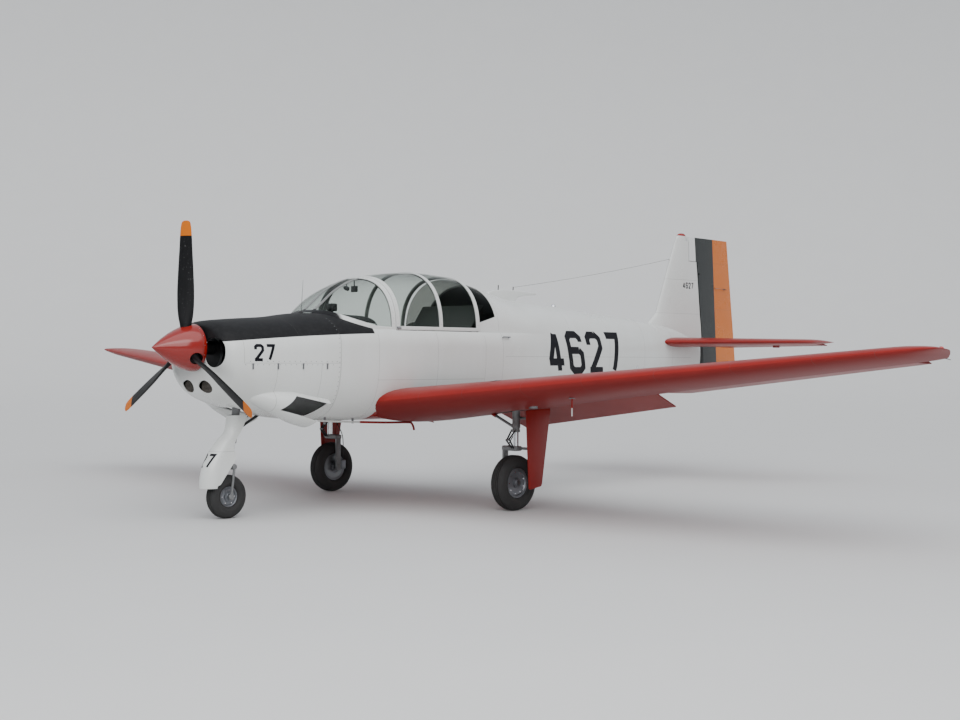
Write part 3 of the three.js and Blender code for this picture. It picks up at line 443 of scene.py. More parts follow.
colours = {
    "white": shade(0.74, 0.76, 0.75),
    "whiteDust": shade(0.6, 0.6, 0.56),
    "black": shade(0.004, 0.004, 0.005),
    "red": shade(0.29, 0.011, 0.007),
    "redDark": shade(0.17, 0.007, 0.006),
    "orange": shade(0.62, 0.15, 0.004),
    "stripeBlack": shade(0.01, 0.014, 0.014),
    "lining": shade(0.16, 0.17, 0.16),
    "walkway": shade(0.035, 0.035, 0.037),
    "grime": shade(0.05, 0.045, 0.04),
}


def seamMask(finish, seams, width=0.0035):  # dark joints between skin panels
    total = None
    for axis, place, *limits in seams:
        line = getattr(finish, axis).near(place, width)
        for other, low, high in limits:
            line = line * getattr(finish, other).between(low, high, 0.002)
        total = line if total is None else total.calc("MAXIMUM", line)
    return total


def painted(name, base, seams=(), dusty=None, rough=0.26, decorate=None, coat=0.25, specular=0.5):
    finish = Finish(name, coat=coat, coatRough=0.12, ior=1.5, specular=specular)
    large = finish.noise(1.3, 4)
    streaks = finish.noise(7, 3, stretch=(1.0, 1.0, 0.25))
    fine = finish.noise(90, 2)
    tone = (large - 0.5) * 0.55 + (streaks - 0.5) * 0.35
    colour = finish.blend((tone + 0.3).clamp(), colours[base], colours[dusty or base])
    gloss = rough + (large - 0.5) * 0.18 + (fine - 0.5) * 0.06
    height = (finish.noise(3.0, 2) - 0.5) * 0.6 + (fine - 0.5) * 0.02
    if decorate:
        colour, gloss = decorate(finish, colour, gloss)
    if seams:
        mask = seamMask(finish, seams)
        colour = finish.blend(mask * 0.75, colour, colours["grime"])
        height = height - mask
    bumped = finish.bump(height, 0.0016, 0.55)
    return finish.feed(colour=colour, rough=gloss.clamp(), normal=bumped)


antiGlare = {"start": 2.334, "height": 1.621, "slope": -0.03, "curve": -0.019}
bellyRed = {"from": 2.2, "top": 0.905}


def whiteMarks(finish, colour, gloss):  # anti-glare panel and red wing box under the cabin
    along = finish.x - antiGlare["start"]
    line = antiGlare["height"] + along * antiGlare["slope"] + along * along * antiGlare["curve"]
    panel = (finish.z - line).above(0, 0.003) * finish.x.above(antiGlare["start"], 0.003)
    finish.feed(coat=(1 - panel) * 0.25)
    scuff = (finish.noise(26, 4) - 0.42).clamp() * 0.1
    colour = finish.blend(panel, colour, finish.blend(scuff, colours["black"], shade(0.2)))
    gloss = gloss * (1 - panel) + panel * 0.62
    belly = (1 - finish.z.above(bellyRed["top"], 0.003)) * finish.x.between(0.16, bellyRed["from"], 0.003)
    return finish.blend(belly, colour, colours["red"]), gloss


def glass(name, tint, dusty=0.02):
    finish = Finish(name, ior=1.49)
    finish.feed(colour=shade(0.02, 0.025, 0.024), rough=0.03 + finish.noise(5, 3) * 0.05, metal=0.0)
    clear = finish.tree.nodes.new("ShaderNodeBsdfTransparent")
    clear.inputs[0].default_value = tint
    facing = finish.node("ShaderNodeLayerWeight", {}, {"Blend": 0.5}, "Facing")
    grazing = facing * facing * facing * facing
    haze = finish.noise(2.2, 4) * dusty
    share = (grazing * 0.55 + haze + 0.035).clamp()
    blendNode = finish.tree.nodes.new("ShaderNodeMixShader")
    finish.tree.links.new(share.socket, blendNode.inputs[0])
    finish.tree.links.new(clear.outputs[0], blendNode.inputs[1])
    finish.tree.links.new(finish.shader.outputs[0], blendNode.inputs[2])
    finish.tree.links.new(blendNode.outputs[0], finish.output.inputs[0])
    return finish.material


def metal(name, base, rough, scratch=0.12, grain=40, dirt=0.25):
    finish = Finish(name, metal=1.0)
    scratches = finish.noise(grain, 5, 0.7, stretch=(1, 1, 0.2))
    spots = finish.noise(9, 5, 0.65)
    stain = ((spots - 0.52) * 4).clamp() * dirt
    colour = finish.blend(stain, base, colours["grime"])
    return finish.feed(colour=colour, rough=(rough + (scratches - 0.5) * scratch + stain * 0.4).clamp(),
                       normal=finish.bump(scratches, 0.0002, 0.5))


def grained(name, base, other, rough, scale, depth, **fixed):  # rubber, moulded plastic, crackle paint
    finish = Finish(name, **fixed)
    coarse, fine = finish.noise(scale * 0.06, 4), finish.cells(scale)
    colour = finish.blend(((coarse - 0.5) * 1.2 + 0.4).clamp(), base, other)
    return finish.feed(colour=colour, rough=(rough + (coarse - 0.5) * 0.2).clamp(),
                       normal=finish.bump(fine, depth, 0.6))


def woven(name, base, other, pitch, depth=0.0006):
    finish = Finish(name, sheen=0.4)
    warp = finish.node("ShaderNodeTexWave", {"bands_direction": "Y"},
                       {"Vector": finish.place, "Scale": 1 / pitch})
    weft = finish.node("ShaderNodeTexWave", {"bands_direction": "X"},
                       {"Vector": finish.place, "Scale": 1 / pitch})
    thread = warp.calc("MAXIMUM", weft)
    wear = finish.noise(6, 4)
    colour = finish.blend(((wear - 0.45) * 2).clamp() * 0.5 + thread * 0.2, base, other)
    return finish.feed(colour=colour, rough=0.86 + (wear - 0.5) * 0.1, normal=finish.bump(thread, depth, 0.7))


cowlSeams = [("x", 2.745), ("z", 1.352, ("x", 2.745, 3.712)), ("x", 3.712, ("z", 1.352, 1.56)),
             ("x", 3.395, ("z", 0.9, 1.352)), ("x", 2.945, ("z", 0.9, 1.352)), ("x", 3.16, ("z", 1.6, 1.9))]
cabinSeams = [("x", 2.738), ("x", 2.3, ("z", 0.85, 1.62)), ("x", 1.56, ("z", 0.85, 1.64)),
              ("x", 0.9, ("z", 0.85, 1.62)), ("z", 1.2, ("x", 0.9, 2.3))]
tailSeams = [("x", 0.637), ("x", -0.56), ("x", -1.3), ("x", -2.05), ("x", -2.72),
             ("z", 1.42, ("x", -3.2, 0.6))]

finishes = {
    "cowl": painted("cowlPaint", "white", cowlSeams, "whiteDust", decorate=whiteMarks, specular=0.25),
    "cabin": painted("cabinPaint", "white", cabinSeams, "whiteDust", decorate=whiteMarks, specular=0.25),
    "tail": painted("tailPaint", "white", tailSeams, "whiteDust", decorate=whiteMarks),
    "white": painted("whitePaint", "white", (), "whiteDust"),
    "red": painted("redPaint", "red", (), "redDark", rough=0.38, coat=0.08, specular=0.28),
    "black": grained("mattBlack", colours["black"], shade(0.03, 0.03, 0.032), 0.5, 900, 0.0002),
    "digit": grained("markingBlack", shade(0.002, 0.002, 0.005), shade(0.004, 0.004, 0.008), 0.5, 700,
                     0.00005, specular=0.2),
    "lining": grained("cabinLining", colours["lining"], shade(0.11, 0.12, 0.11), 0.62, 420, 0.0003),
    "inside": grained("primerInside", shade(0.03, 0.035, 0.025), shade(0.05, 0.05, 0.04), 0.7, 200, 0.0002),
    "glass": glass("canopyAcrylic", (0.93, 0.955, 0.94, 1)),
    "smoke": glass("rearAcrylic", (0.55, 0.56, 0.54, 1), 0.05),
    "chrome": metal("chromedSteel", shade(0.75, 0.76, 0.78), 0.1, 0.06, dirt=0.12),
    "steel": metal("greySteel", shade(0.24, 0.25, 0.26), 0.36),
    "alloy": metal("castAlloy", shade(0.24, 0.25, 0.27), 0.48, 0.2, 120),
    "iron": metal("engineCasting", shade(0.1, 0.1, 0.105), 0.55, 0.2, 90, 0.5),
    "tyre": grained("tyreRubber", shade(0.017, 0.017, 0.018), shade(0.035, 0.034, 0.032), 0.78, 260,
                    0.0006),
    "seal": grained("blackRubber", shade(0.012), shade(0.02), 0.6, 500, 0.0002),
    "vinyl": grained("seatVinyl", shade(0.028, 0.03, 0.034), shade(0.045, 0.047, 0.05), 0.55, 330, 0.0007,
                     sheen=0.15),
    "cloth": woven("seatCloth", shade(0.05, 0.052, 0.056), shade(0.09), 0.0018),
    "webbing": woven("beltWebbing", shade(0.05, 0.055, 0.035), shade(0.1, 0.1, 0.07), 0.0012, 0.0004),
    "crackle": grained("crackleBlack", shade(0.014), shade(0.03), 0.66, 1100, 0.0005),
    "dial": grained("dialBlack", shade(0.006), shade(0.012), 0.35, 400, 0.00005),
    "dialWhite": grained("dialMarks", shade(0.72, 0.72, 0.68), shade(0.6, 0.6, 0.56), 0.5, 400, 0.00005),
    # near-black and barely glossy: painted shade for the cowl's inside
    "void": grained("cowlShade", shade(0.002), shade(0.003), 0.9, 200, 0.0001, specular=0.05),
    "amber": grained("knobRed", shade(0.35, 0.03, 0.02), shade(0.25, 0.02, 0.02), 0.3, 300, 0.0001,
                     coat=0.4),
    "mesh": grained("intakeMesh", shade(0.16, 0.14, 0.12), shade(0.1, 0.09, 0.08), 0.6, 300, 0.0003),
}


def tipPaint(finish, colour, gloss):  # orange tips by distance from the shaft
    radius = (finish.y * finish.y + (finish.z - shaft["z"]) * (finish.z - shaft["z"])).calc("SQRT", 0.0)
    tips = radius.above(0.95, 0.002)
    chips = ((finish.noise(60, 4) - 0.63) * 12).clamp() * 0.7
    worn = radius.above(0.4, 0.5) * chips
    colour = finish.blend(tips, colour, colours["orange"])
    return finish.blend(worn * 0.35, colour, shade(0.3)), gloss + 0.12


# the frame is black where it meets the anti-glare panel, grey on the posts
def screenMarks(finish, colour, gloss):
    nose = finish.x.above(2.585, 0.02) * (1 - finish.z.above(1.845, 0.004))
    post = (1 - abs(finish.y).above(0.1, 0.002)) * finish.x.above(2.105, 0.004)
    colour = finish.blend(post, colour, shade(0.2, 0.205, 0.2))
    return finish.blend(nose, colour, colours["black"]), gloss


def rudderStripes(finish, colour, gloss):
    split = finish.z * 0.0538 - 3.906  # the stripe's edge runs parallel to the hinge
    colour = finish.blend((finish.x - split).above(0, 0.002), colours["orange"], colours["stripeBlack"])
    horn = finish.x.above(-3.42, 0.004) * finish.z.above(2.585, 0.002)
    edge = horn * (finish.x - (finish.z * 0.0538 - 3.5115)).above(0, 0.003)
    return finish.blend(edge, colour, colours["white"]), gloss


def finCap(finish, colour, gloss):
    return finish.blend(finish.z.above(2.893, 0.002), colour, colours["red"]), gloss


def wingMarks(finish, colour, gloss):  # anti-slip walkway on the root, above the skin only; painted shade under the wing
    reach = abs(finish.y)
    patch = reach.between(0.56, 0.98, 0.004) * finish.x.between(0.62, 1.86, 0.004)
    upper = (finish.z - (1.0 + (reach - 0.5) * dihedralSlope)).above(-0.02, 0.01)
    grit = finish.noise(700, 2)
    colour = finish.blend(patch * upper, colour, finish.blend(grit, colours["walkway"], shade(0.07)))
    under = (0.985 + (reach - 0.5) * dihedralSlope - finish.z).above(0.0, 0.05)  # dull below, and darker there as painted shade
    colour = finish.blend(under * 0.7, colour, colours["redDark"])
    return colour, gloss * (1 - patch * upper) * (1 - under) + patch * upper * 0.9 + under * 0.62


shaft = {"z": 1.48, "plane": 3.97}
dihedralSlope = 0.0986
ribPlaces = (0.98, 1.45, 2.05, 2.64, 3.3, 3.95, 4.6, 5.07)
ribSeams = [("y", s * p) for p in ribPlaces for s in (1, -1)]
finishes["blade"] = painted("bladePaint", "black", (), "black", rough=0.42, decorate=tipPaint, specular=0.22,
                            coat=0.0)
finishes["rudder"] = painted("rudderPaint", "orange", [("z", 2.02), ("z", 2.59, ("x", -4.4, -3.42))],
                             decorate=rudderStripes)
finishes["screenFrame"] = painted("screenFramePaint", "white", (), "whiteDust", decorate=screenMarks,
                                  specular=0.25)
finishes["fin"] = painted("finPaint", "white", [("z", 1.95), ("z", 2.36)], "whiteDust", decorate=finCap)
finishes["wing"] = painted("wingPaint", "red", ribSeams, "redDark", rough=0.4, decorate=wingMarks, coat=0.08,
                           specular=0.28)
finishes["tailplane"] = painted("tailplanePaint", "red",
                                [("y", s * p) for p in (0.6, 1.15, 1.68) for s in (1, -1)], "redDark",
                                rough=0.4, coat=0.08, specular=0.28)


# Fuselage sections. The deck rises inside the canopy's tunnel behind x = 0.9.

fuselage = Table(["shoulder", "bottom", "half", "middle", "sideRound", "lowerRound"], [
    (3.87, 1.665, 1.19, 0.33, 1.44, 2.2, 2.2), (3.845, 1.69, 1.115, 0.405, 1.425, 2.3, 2.3),
    (3.78, 1.712, 1.05, 0.46, 1.41, 2.4, 2.4), (3.55, 1.735, 0.96, 0.515, 1.41, 2.4, 2.5),
    (3.13, 1.763, 0.87, 0.555, 1.445, 2.4, 2.7), (2.742, 1.806, 0.832, 0.588, 1.49, 2.4, 2.9),
    (2.3, 1.812, 0.818, 0.6, 1.5, 2.4, 3.1), (1.5, 1.812, 0.815, 0.604, 1.5, 2.4, 3.1),
    (0.939, 1.813, 0.82, 0.596, 1.5, 2.4, 3.0), (0.615, 1.846, 0.828, 0.58, 1.49, 2.3, 2.9),
    (0.34, 1.9, 0.84, 0.56, 1.485, 2.2, 2.8), (0.06, 2.016, 0.856, 0.532, 1.48, 2.2, 2.7),
    (-0.56, 1.979, 0.9, 0.462, 1.475, 2.2, 2.5), (-1.3, 1.92, 0.962, 0.382, 1.475, 2.2, 2.4),
    (-2.28, 1.846, 1.056, 0.26, 1.47, 2.2, 2.2), (-2.9, 1.78, 1.122, 0.165, 1.48, 2.1, 2.1),
    (-3.3, 1.72, 1.17, 0.092, 1.48, 2.0, 2.0), (-3.5, 1.69, 1.195, 0.058, 1.47, 2.0, 2.0),
], warp=lambda x: sqrt(max(3.87 - x, 0)))
deck = Table(["crown", "round"], [
    (0.99, 2.19, 2.2), (0.939, 2.188, 2.2), (0.615, 2.13, 2.05), (0.34, 2.066, 2.0), (0.06, 2.016, 1.9),
    (-0.56, 1.979, 1.87)])
sill = 1.655
tunnelHalf = 0.519  # the canopy slides back over a deck no wider than this
seams = {"nose": 3.87, "cowl": 2.742, "tail": 0.64, "end": -3.5, "deckFront": 0.99}
sectionCounts = {"deck": 14, "side": 10, "under": 14}


def deckShare(x):  # 1 where the deck is an arch of its own, 0 on the plain tail cone
    return ease((x + 0.35) / 0.5) if x < seams["deckFront"] else 0


def sectionHalf(x, grow=0):  # (y, z) from the crown down the port side to the keel
    f = fuselage(x)
    half, reach, depth = f.half + grow, f.shoulder - f.middle + grow, f.middle - f.bottom + grow
    split = sill if -1.0 < x < 1.2 else f.middle + 0.4427 * (f.shoulder - f.middle)
    angle = asin(min(((split - f.middle) / reach) ** (f.sideRound / 2), 1))
    foot = half * power(cos(angle), 2 / f.sideRound)
    arch, share = deck(x), deckShare(x)
    rise = arch.crown + grow - split
    points = []
    for t in span(1, 0, sectionCounts["deck"] + 1):
        plainAngle = mix(angle, pi / 2, t)
        plain = (half * power(cos(plainAngle), 2 / f.sideRound),
                 f.middle + reach * power(sin(plainAngle), 2 / f.sideRound))
        bow = t * pi / 2
        inner = min(foot, tunnelHalf + grow)
        arched = (inner * power(cos(bow), 2 / arch.round), split + rise * power(sin(bow), 2 / arch.round))
        points.append((mix(plain[0], arched[0], share), mix(plain[1], arched[1], share)))
    for t in span(1, 0, sectionCounts["side"] + 1):
        a = angle * t
        points.append((half * power(cos(a), 2 / f.sideRound) - (1e-4 if t == 1 else 0),
                       f.middle + reach * power(sin(a), 2 / f.sideRound)))
    for t in span(0, 1, sectionCounts["under"] + 1)[1:]:
        a = t * pi / 2
        points.append((half * power(cos(a), 2 / f.lowerRound),
                       f.middle - depth * power(sin(a), 2 / f.lowerRound)))
    points[0], points[-1] = (0, points[0][1]), (0, points[-1][1])
    return points


def sectionRing(x, grow=0):
    port = sectionHalf(x, grow)
    return [Vector((x, y, z)) for y, z in port] + [Vector((x, -y, z)) for y, z in port[-2:0:-1]]


def hullHalf(x, z):  # half width of the hull's side at a height
    f = fuselage(x)
    if z >= f.middle:
        t, n = (z - f.middle) / (f.shoulder - f.middle), f.sideRound
    else:
        t, n = (f.middle - z) / (f.middle - f.bottom), f.lowerRound
    return f.half * max(1 - min(t, 1) ** n, 0) ** (1 / n)


def hullRings(front, rear, step, grow=0, extra=()):
    count = max(int((front - rear) / step), 2)
    return [sectionRing(x, grow) for x in sorted({*span(front, rear, count + 1), *extra}, reverse=True)]


def hullSolid(front, rear, grow, coat):
    return skin("hullTool", hullRings(front, rear, 0.12, grow), coat)


# Cowl
cowlSizes = {"wall": 0.01, "cheekY": 0.266, "cheekZ": 1.44, "cheekWide": 0.136, "cheekTall": 0.125,
             "cheekRound": 2.4, "chinY": 0.122, "chinZ": 1.15, "chinWide": 0.084, "chinTall": 0.054}


def ovalTool(y, z, wide, tall, rear, coat, roundness=2.0):
    rings = []
    for x in (3.95, rear):
        rings.append([Vector((x, y + wide * power(cos(a), 2 / roundness),
                              z + tall * power(sin(a), 2 / roundness))) for a in circle(40)])
    return skin("ovalTool", rings, coat)


blisterRows = Table(["y", "z", "wide", "tall"], [
    (3.56, 0.33, 1.075, 0.05, 0.045), (3.44, 0.375, 1.045, 0.105, 0.085), (3.3, 0.41, 1.005, 0.14, 0.12),
    (3.15, 0.425, 0.965, 0.152, 0.146), (2.98, 0.425, 0.93, 0.15, 0.15), (2.82, 0.42, 0.915, 0.145, 0.14)])


def blister(way, grow, coat):
    rings = []
    for x in span(3.56, 2.74, 26):
        row = blisterRows(x)
        rings.append([Vector((x, way * (row.y + (row.wide + grow) * cos(a)),
                              row.z + (row.tall + grow) * sin(a))) for a in circle(40)])
    return skin("blister", rings, coat)


def exitTool(way, coat):  # slanted block that opens the blister's outer rear side
    corners = [(3.2, 1.069), (2.819, 0.992), (2.977, 0.846), (3.351, 0.951)]
    rings = [[Vector((x, way * y, z)) for x, z in corners] for y in (0.2, 0.8)]
    return skin("exitTool", rings, coat)


def blisterTail(way, coat, back=0):  # what lies behind the exit's rear edge, outside the hull
    corners = [(2.7, 1.3), (2.819, 1.2), (2.819, 0.992), (2.977, 0.846), (3.1, 0.73), (2.7, 0.6)]
    rings = [[Vector((x - back, way * y, z)) for x, z in corners] for y in (0.05, 0.8)]
    return skin("blisterTail", rings, coat)


def makeCowl():
    paint, dark = "cowl", "void"
    outer = hullRings(seams["nose"], seams["cowl"] + 0.0003, 0.03,
                      extra=[3.8695, 3.868, 3.865, 3.86, 3.852, 3.842, 3.828, 3.81, 3.79])
    solid = skin("cowl_panels", outer, paint)
    for way in (1, -1):
        carve(solid, blister(way, 0, paint), operation="UNION")
    # the cowl's inside and the blisters' insides take the near-black finish: painted shade
    hollow = skin("cowlHollow", hullRings(3.858, seams["cowl"] - 0.05, 0.06, -cowlSizes["wall"],
                                          extra=[3.85, 3.84, 3.82, 3.79]), dark)
    for way in (1, -1):
        inner = blister(way, -cowlSizes["wall"], dark)
        carve(inner, blisterTail(way, dark, 0.004))
        carve(hollow, inner, operation="UNION")
        tailTool = blisterTail(way, paint)
        carve(tailTool, hullSolid(3.3, 2.65, 0, paint))
        carve(solid, tailTool)
    tail = block("cowlTail", (2.6, -0.9, 0.5), (seams["cowl"] + 0.0003, 0.9, 2.0), dark)
    carve(solid, tail, hollow)
    c = cowlSizes
    tools = [ovalTool(way * c["cheekY"], c["cheekZ"], c["cheekWide"], c["cheekTall"], 3.77, paint,
                      c["cheekRound"]) for way in (1, -1)]
    tools += [ovalTool(way * c["chinY"], c["chinZ"], c["chinWide"], c["chinTall"], 3.7, paint)
              for way in (1, -1)]
    tools.append(ovalTool(0, shaft["z"], 0.118, 0.118, 3.8, paint))
    tools += [exitTool(way, paint) for way in (1, -1)]
    tools.append(block("legBay", (3.34, -0.13, 0.8), (3.56, 0.13, 1.06), paint))
    carve(solid, *tools)
    return dress(solid, "airframe", "white_paint", "cowl", angle=30)


makeCowl()


# Cabin tub and tail cone
cabinSizes = {"wall": 0.026, "deckWall": 0.01, "floor": 1.0, "footFront": 2.576, "footInset": 0.024,
              "openingFront": 2.05, "openingRear": 0.933}
windowOutline = [(1.0, 1.745), (0.933, 1.745), (0.672, 1.812), (0.666, 2.0), (0.662, 2.3), (1.0, 2.3)]


def roomRings(front, rear):  # the wall is thinner round the rear deck
    c = cabinSizes
    return [sectionRing(x, -mix(c["deckWall"], c["wall"], ease((x - 0.9) / 0.04))) for x in
            [*span(front, 0.96, 26), 0.94, 0.925, 0.91, 0.9, *span(0.88, rear, 6)]]


def makeCabin():
    paint, lining, c = "cabin", "lining", cabinSizes
    front, rear = seams["cowl"] - 0.0003, seams["tail"] + 0.0003
    tub = skin("cabin_shell", hullRings(front, rear, 0.04, extra=[0.991, 0.989, 0.939, 0.933]), paint)
    room = skin("room", roomRings(front - 0.018, rear - 0.05), lining)
    carve(room, block("underFloor", (0.5, -0.8, 0.5), (3.0, 0.8, c["floor"]), lining))
    opening = block("opening", (c["openingRear"], -0.7, sill), (c["openingFront"], 0.7, 2.4), lining)
    foot = archCore(c["footFront"], c["openingFront"] - 0.02, -c["footInset"], sill, lining, step=0.02)
    window = plate("window", windowOutline, -0.6, 0.6, paint)
    carve(tub, room, opening, foot, window)
    return dress(tub, "airframe", "white_paint", "cabin_shell")


def makeTailCone():
    cone = skin("tail_cone", hullRings(seams["tail"], seams["end"], 0.05, extra=[-3.49, -3.48]), "tail")
    hollow = skin("coneHollow", hullRings(seams["tail"] + 0.02, -3.2, 0.1, -0.01), "inside")
    bay = block("rudderBay", (-4.4, -0.2, 1.216), (rudderAxis(1.45) + 0.055, 0.2, 2.4), "tail")
    carve(cone, hollow, bay)
    heel = block("heel", (-3.575, -0.026, 1.18), (-3.42, 0.026, 1.2157), "white", round=0.004)
    return dress(joined("tail_cone", cone, heel), "airframe", "white_paint", "tail_cone")


# Glazing over the cabin
arches = Table(["crown", "half"], [
    (2.66, 1.812, 0.21), (2.64, 1.83, 0.31), (2.59, 1.867, 0.415), (2.52, 1.922, 0.47), (2.44, 1.988, 0.505),
    (2.36, 2.04, 0.528), (2.26, 2.09, 0.54), (2.18, 2.122, 0.54), (2.064, 2.155, 0.54), (1.9, 2.188, 0.54),
    (1.62, 2.222, 0.54), (1.34, 2.232, 0.54), (1.1, 2.22, 0.54), (0.94, 2.203, 0.54)])
canopy = {"base": 1.661, "round": 2.4, "glass": 0.008, "proud": 0.006, "front": 2.046, "rear": 0.94,
          "half": 0.54, "postAt": 0.075, "postHalf": 0.019, "sillBand": 0.012, "noseBand": 0.03,
          "arch": 0.048, "bands": [(2.0, 2.046), (1.445, 1.487), (0.94, 0.986)], "railTop": 0.034}


def archLine(x, grow, base, count=40):
    a, n = arches(x), 2 / canopy["round"]
    half, reach = a.half + grow, a.crown + grow - canopy["base"]
    line = [Vector((x, half * power(cos(t), n), canopy["base"] + reach * power(sin(t), n)))
            for t in span(0, pi, count + 1)]
    if base < canopy["base"]:
        line = [Vector((x, half, base)), *line, Vector((x, -half, base))]
    return line


def archShell(name, front, rear, inner, outer, base, coat, step=0.03, count=40):
    rows = max(int((front - rear) / step), 1)
    rings = [archLine(x, outer, base, count) + archLine(x, inner, base, count)[::-1]
             for x in span(front, rear, rows + 1)]
    return skin(name, rings, coat)


def archCore(front, rear, grow, base, coat, step=0.03):
    rows = max(int((front - rear) / step), 1)
    return skin("archCore", [archLine(x, grow, base) for x in span(front, rear, rows + 1)], coat)


def makeWindshield():
    c, clear, paint = canopy, "glass", "screenFrame"
    rear = c["front"] + 0.006
    pane = archShell("windshield_glass", 2.659, rear + 0.002, -c["glass"], 0, sill + 0.0003, clear, step=0.02)
    carve(pane, hullSolid(3.2, c["front"], 0.0003, clear))
    arch = archShell("arch", rear + c["arch"], rear, 0.0003, c["proud"], sill + 0.0003, paint)
    outer = archShell("outer", 2.659, rear, 0.0003, 0.0055, sill + 0.0003, paint, step=0.02)
    near = skin("near", [sectionRing(x, mix(c["sillBand"], c["noseBand"], ease((x - 2.15) / 0.35)))
                         for x in span(3.2, c["front"] - 0.02, 24)], paint)
    carve(outer, near, operation="INTERSECT")
    carve(outer, hullSolid(3.2, c["front"] - 0.04, 0.0003, paint))
    posts = []
    for way in (1, -1):
        rings = []
        for x in span(2.64, rear, 30):
            rings.append([Vector((x, way * (c["postAt"] + u * c["postHalf"]),
                                  archTop(x, c["postAt"] + u * c["postHalf"], grow)))
                          for u, grow in ((-1, 0.0003), (1, 0.0003), (1, 0.006), (0.6, 0.008), (-0.6, 0.008),
                                          (-1, 0.006))])
        posts.append(skin("post", rings, paint))
    frame = joined("windshield_frame", arch, outer, *posts)
    dress(pane, "airframe", "clear_glazing", "windshield_glass")
    dress(frame, "airframe", "white_paint", "windshield_frame", angle=40)


def archTop(x, y, grow):
    a = arches(x)
    share, bow = min(abs(y) / (a.half + grow), 1), canopy["round"]
    return canopy["base"] + (a.crown + grow - canopy["base"]) * (1 - share ** bow) ** (1 / bow)


def makeCanopy():
    c, clear, paint = canopy, "glass", "white"
    pane = archShell("canopy_glass", c["front"] - 0.004, c["rear"] + 0.004, -c["glass"], 0,
                     c["base"] + 0.003, clear, step=0.04)
    bands = [archShell("band", b, a, 0.0003, c["proud"], c["base"], paint, count=60) for a, b in c["bands"]]
    inner, outer = c["half"] + 0.0003, c["half"] + 0.007
    rails = [block("rail", (c["rear"], way * inner, c["base"]),
                   (c["front"], way * outer, c["base"] + c["railTop"]), paint, round=0.002)
             for way in (1, -1)]
    runners = [block("runner", (x - 0.03, way * (c["half"] - 0.001) - 0.005, sill + 0.0003),
                     (x + 0.03, way * (c["half"] - 0.001) + 0.005, c["base"] + 0.001), "steel")
               for way in (1, -1) for x in (1.95, 1.02)]
    frame = joined("canopy_frame", *bands, *rails, *runners)
    dress(pane, "canopy", "clear_glazing", "canopy_glass")
    dress(frame, "canopy", "white_paint", "canopy_frame", angle=40)


def makeRearWindow():
    front = canopy["rear"] - 0.001
    shell = skin("rear_window", hullRings(front, 0.645, 0.03), "smoke")
    carve(shell, skin("hollow", hullRings(front + 0.04, 0.5, 0.05, -0.008), "smoke"))
    area = plate("area", [(x + (0.0006 if x < 0.8 else -0.0006), z + 0.0006) for x, z in windowOutline],
                 -0.6, 0.6, "smoke")
    carve(shell, area, operation="INTERSECT")
    dress(shell, "airframe", "clear_glazing", "rear_window")


# Wings: y, leading edge, trailing edge, thickness over chord
wing = {"lead": (2.26, -0.1603), "trail": (0.26, 0.0745), "leadHeight": 1.0, "dihedral": dihedralSlope,
        "incidence": 3.0, "root": 0.5, "runGap": 0.006, "aileronHinge": 0.76, "aileronSpan": (2.69, 5.05),
        "aileronDroop": 6, "flapStart": 0.77, "flapEnd": 0.96, "flapSpan": (0.64, 2.56), "flapPlate": 0.012,
        "flapAngle": 29}


def wingLead(y):
    return wing["lead"][0] + wing["lead"][1] * (y - wing["root"])


def wingTrail(y):
    return wing["trail"][0] + wing["trail"][1] * (y - wing["root"])


wingRows = Table(["lead", "trail", "thick"], [
    (0.33, wingLead(0.33), wingTrail(0.33), 0.15), (2.62, wingLead(2.62), wingTrail(2.62), 0.135),
    (4.8, wingLead(4.8), wingTrail(4.8), 0.1216), (5.06, wingLead(5.06), wingTrail(5.06), 0.12),
    (5.2, wingLead(5.2), 0.655, 0.12), (5.32, wingLead(5.32), 0.85, 0.12), (5.42, wingLead(5.42), 1.05, 0.11),
    (5.48, 1.44, 1.19, 0.085), (5.5, 1.4, 1.26, 0.03)])


def foilHalf(thick, f):
    shape = 0.2969 * sqrt(f) - 0.126 * f - 0.3516 * f * f + 0.2843 * f ** 3 - 0.1036 * f ** 4
    return 5 * thick * shape + 0.0035 * f


def foil(thick, steps):  # (fraction, height over chord), over then under
    stops = [(1 - cos(pi * t)) / 2 for t in span(0, 1, steps + 1)]
    return [(f, foilHalf(thick, f)) for f in stops] + [(f, -foilHalf(thick, f)) for f in stops[:0:-1]]


def wingPoint(y, f, rise=0.0):
    row, tilt = wingRows(y), radians(wing["incidence"])
    back = f * (row.lead - row.trail)
    high = wing["leadHeight"] + wing["dihedral"] * (y - wing["root"])
    return Vector((row.lead - back * cos(tilt), y, high - (wingLead(y) - row.lead + back) * sin(tilt) + rise))


def wingHalf(y, f):
    row = wingRows(y)
    return (row.lead - row.trail) * foilHalf(row.thick, f)


def wholeWing(name, coat, start=0.33):
    stations = [*span(start, 5.06, 20), *span(5.06, 5.44, 12)[1:], 5.455, 5.47, 5.48, 5.488, 5.494, 5.498,
                5.5]
    rings = []
    for y in stations:
        row = wingRows(y)
        chord = row.lead - row.trail
        rings.append([wingPoint(y, f, h * chord) for f, h in foil(row.thick, 22)])
    return skin(name, rings, coat)


def behind(a, b, back, tall, coat):  # block behind a hinge line, square to it at both ends
    axis = (b - a).normalized()
    aft = (Vector((-1, 0, 0)) + axis * axis.x).normalized() * back
    over = axis.cross(aft).normalized() * tall
    return skin("behind", [[p - over, p + over, p + over + aft, p - over + aft] for p in (a, b)], coat)


def along(a, b, distance):
    return (b - a).normalized() * distance


